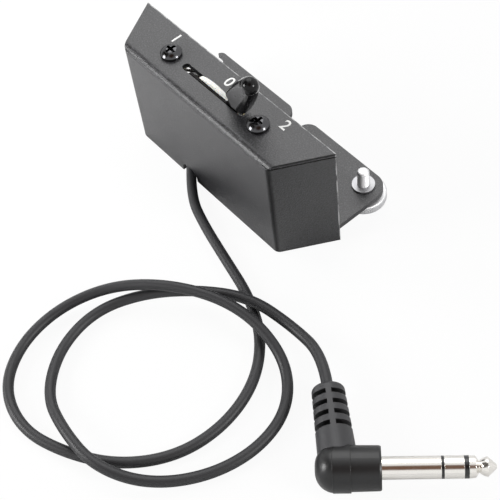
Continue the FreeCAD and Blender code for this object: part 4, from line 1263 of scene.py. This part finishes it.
@dataclass
class Finishes:
    """Every finish on the object, with the colours as a screen shows them."""

    paint: PowderCoat = PowderCoat(
        "powder_grey", linear(36, 36, 38), linear(205, 205, 206), cut_plane=0.0, cut_wear_and_glint=0.3,
        seams=((40.72, 41.3, 0.3, 0.95), (41.72, 42.42, 0.05, 0.6)),
        corner=(34.1, -16.9),
    )
    bracket_paint: PowderCoat = PowderCoat(
        "powder_grey_bracket", linear(40, 40, 42), linear(150, 150, 152), cut_plane=22.3
    )
    black_screw: Plating = Plating(
        "black_nickel", linear(84, 84, 86), 0.17, line_depth=0.003, tarnish=0.2
    )
    nickel: Plating = Plating(
        "bright_nickel", linear(236, 233, 228), 0.14, (1.0, 1.0, 6.0), tarnish=0.08
    )
    washer: Plating = Plating("zinc_washer", linear(172, 172, 174), 0.46, tarnish=0.1)
    stud_zinc: Plating = Plating(
        "zinc_stud", linear(228, 228, 229), 0.52, (1.0, 1.0, 6.0), tarnish=0.08
    )
    zinc: Plating = Plating(
        "zinc_plate", linear(186, 188, 186), 0.36, (1.0, 1.0, 5.0), 0.006, tarnish=0.35
    )
    blackened: Plating = Plating(
        "blackened_steel", linear(34, 33, 33), 0.42, (1.0, 1.0, 3.0), 0.006, tarnish=0.5
    )
    spring: Plating = Plating("spring_steel", linear(160, 160, 163), 0.26, (1.0, 6.0, 1.0))
    brass: Plating = Plating(
        "contact_brass", linear(212, 196, 160), 0.28, (4.0, 1.0, 1.0), tarnish=0.3
    )
    wire_tinned: Plating = Plating(
        "wire_tinned", linear(178, 176, 170), 0.3, (9.0, 1.0, 1.0), line_depth=0.02
    )
    ivory: Moulding = Moulding(
        "ivory_plastic", linear(233, 233, 228), 0.28, grain=0.9, grain_depth=0.003,
        coat=0.25, rubbed=0.1, glow=0.15,
    )
    knob: Moulding = HandledMoulding(
        "gloss_black_plastic", linear(12, 12, 13), 0.12, grain=1.4, grain_depth=0.003,
        rubbed=0.05, edge_radius=0.3, shine=0.25,
    )
    boot_grey: Moulding = Moulding(
        "moulded_grey", linear(56, 56, 58), 0.44, grain=0.3, grain_depth=0.012, hollow_shade=0.95
    )
    plug_black: Moulding = SeamedMoulding(
        "moulded_black", linear(22, 22, 23), 0.36, grain=0.3, grain_depth=0.01
    )
    insulator: Moulding = Moulding(
        "insulator_black", linear(16, 16, 17), 0.25, grain=0.6, grain_depth=0.003, coat=0.3
    )
    nylon: Moulding = Moulding("clamp_nylon", linear(28, 28, 29), 0.5, grain=0.4, grain_depth=0.01)
    wire_white: Moulding = Moulding("wire_white", linear(214, 213, 206), 0.42, grain=0.2)
    wire_red: Moulding = Moulding("wire_red", linear(160, 34, 28), 0.42, grain=0.2)
    board: Board = Board("contact_board", linear(96, 58, 34))
    jacket: Sheath = Sheath("lead_jacket", linear(37, 37, 39))
    ink: Ink = Ink("white_ink", linear(250, 250, 248))

    def dress_the_rest(self) -> None:
        """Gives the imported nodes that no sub-assembly takes up their finishes."""
        for finish, nodes in (
            (self.nickel, ("plug_sleeve", "plug_ring", "plug_tip")),
            (self.insulator, ("plug_insulator_rings",)),
            (self.plug_black, ("plug_body",)),
            (self.boot_grey, ("plug_boot",)),
            (self.ivory, ("half_moon_disc",)),
            (self.knob, ("lever_knob",)),
            (self.blackened, ("lever_arm",)),
            (self.zinc, (
                "switch_frame", "pivot_pin", "arm_rivets", "block_screws", "detent_rivet",
                "clamp_screw", "clamp_nut",
            )),
            (self.spring, ("pivot_clip", "detent_spring")),
            (self.board, ("fast_contact_block", "slow_contact_block")),
            (self.brass, (
                "fast_moving_blade", "fast_fixed_blade", "slow_moving_blade", "slow_fixed_blade",
            )),
            (self.nylon, ("cord_clamp",)),
        ):
            dress(nodes, finish.make())


def main() -> None:
    """Builds the scene: camera and lead first, then each sub-assembly."""
    logging.basicConfig(level=logging.INFO)
    Studio().make()
    finishes = Finishes()
    for assembly in (Lead(), Housing(), CaptiveThumbscrew()):
        assembly.make(finishes)
    finishes.dress_the_rest()
    Wiring().make(finishes)


if __name__ == "__main__":
    main()
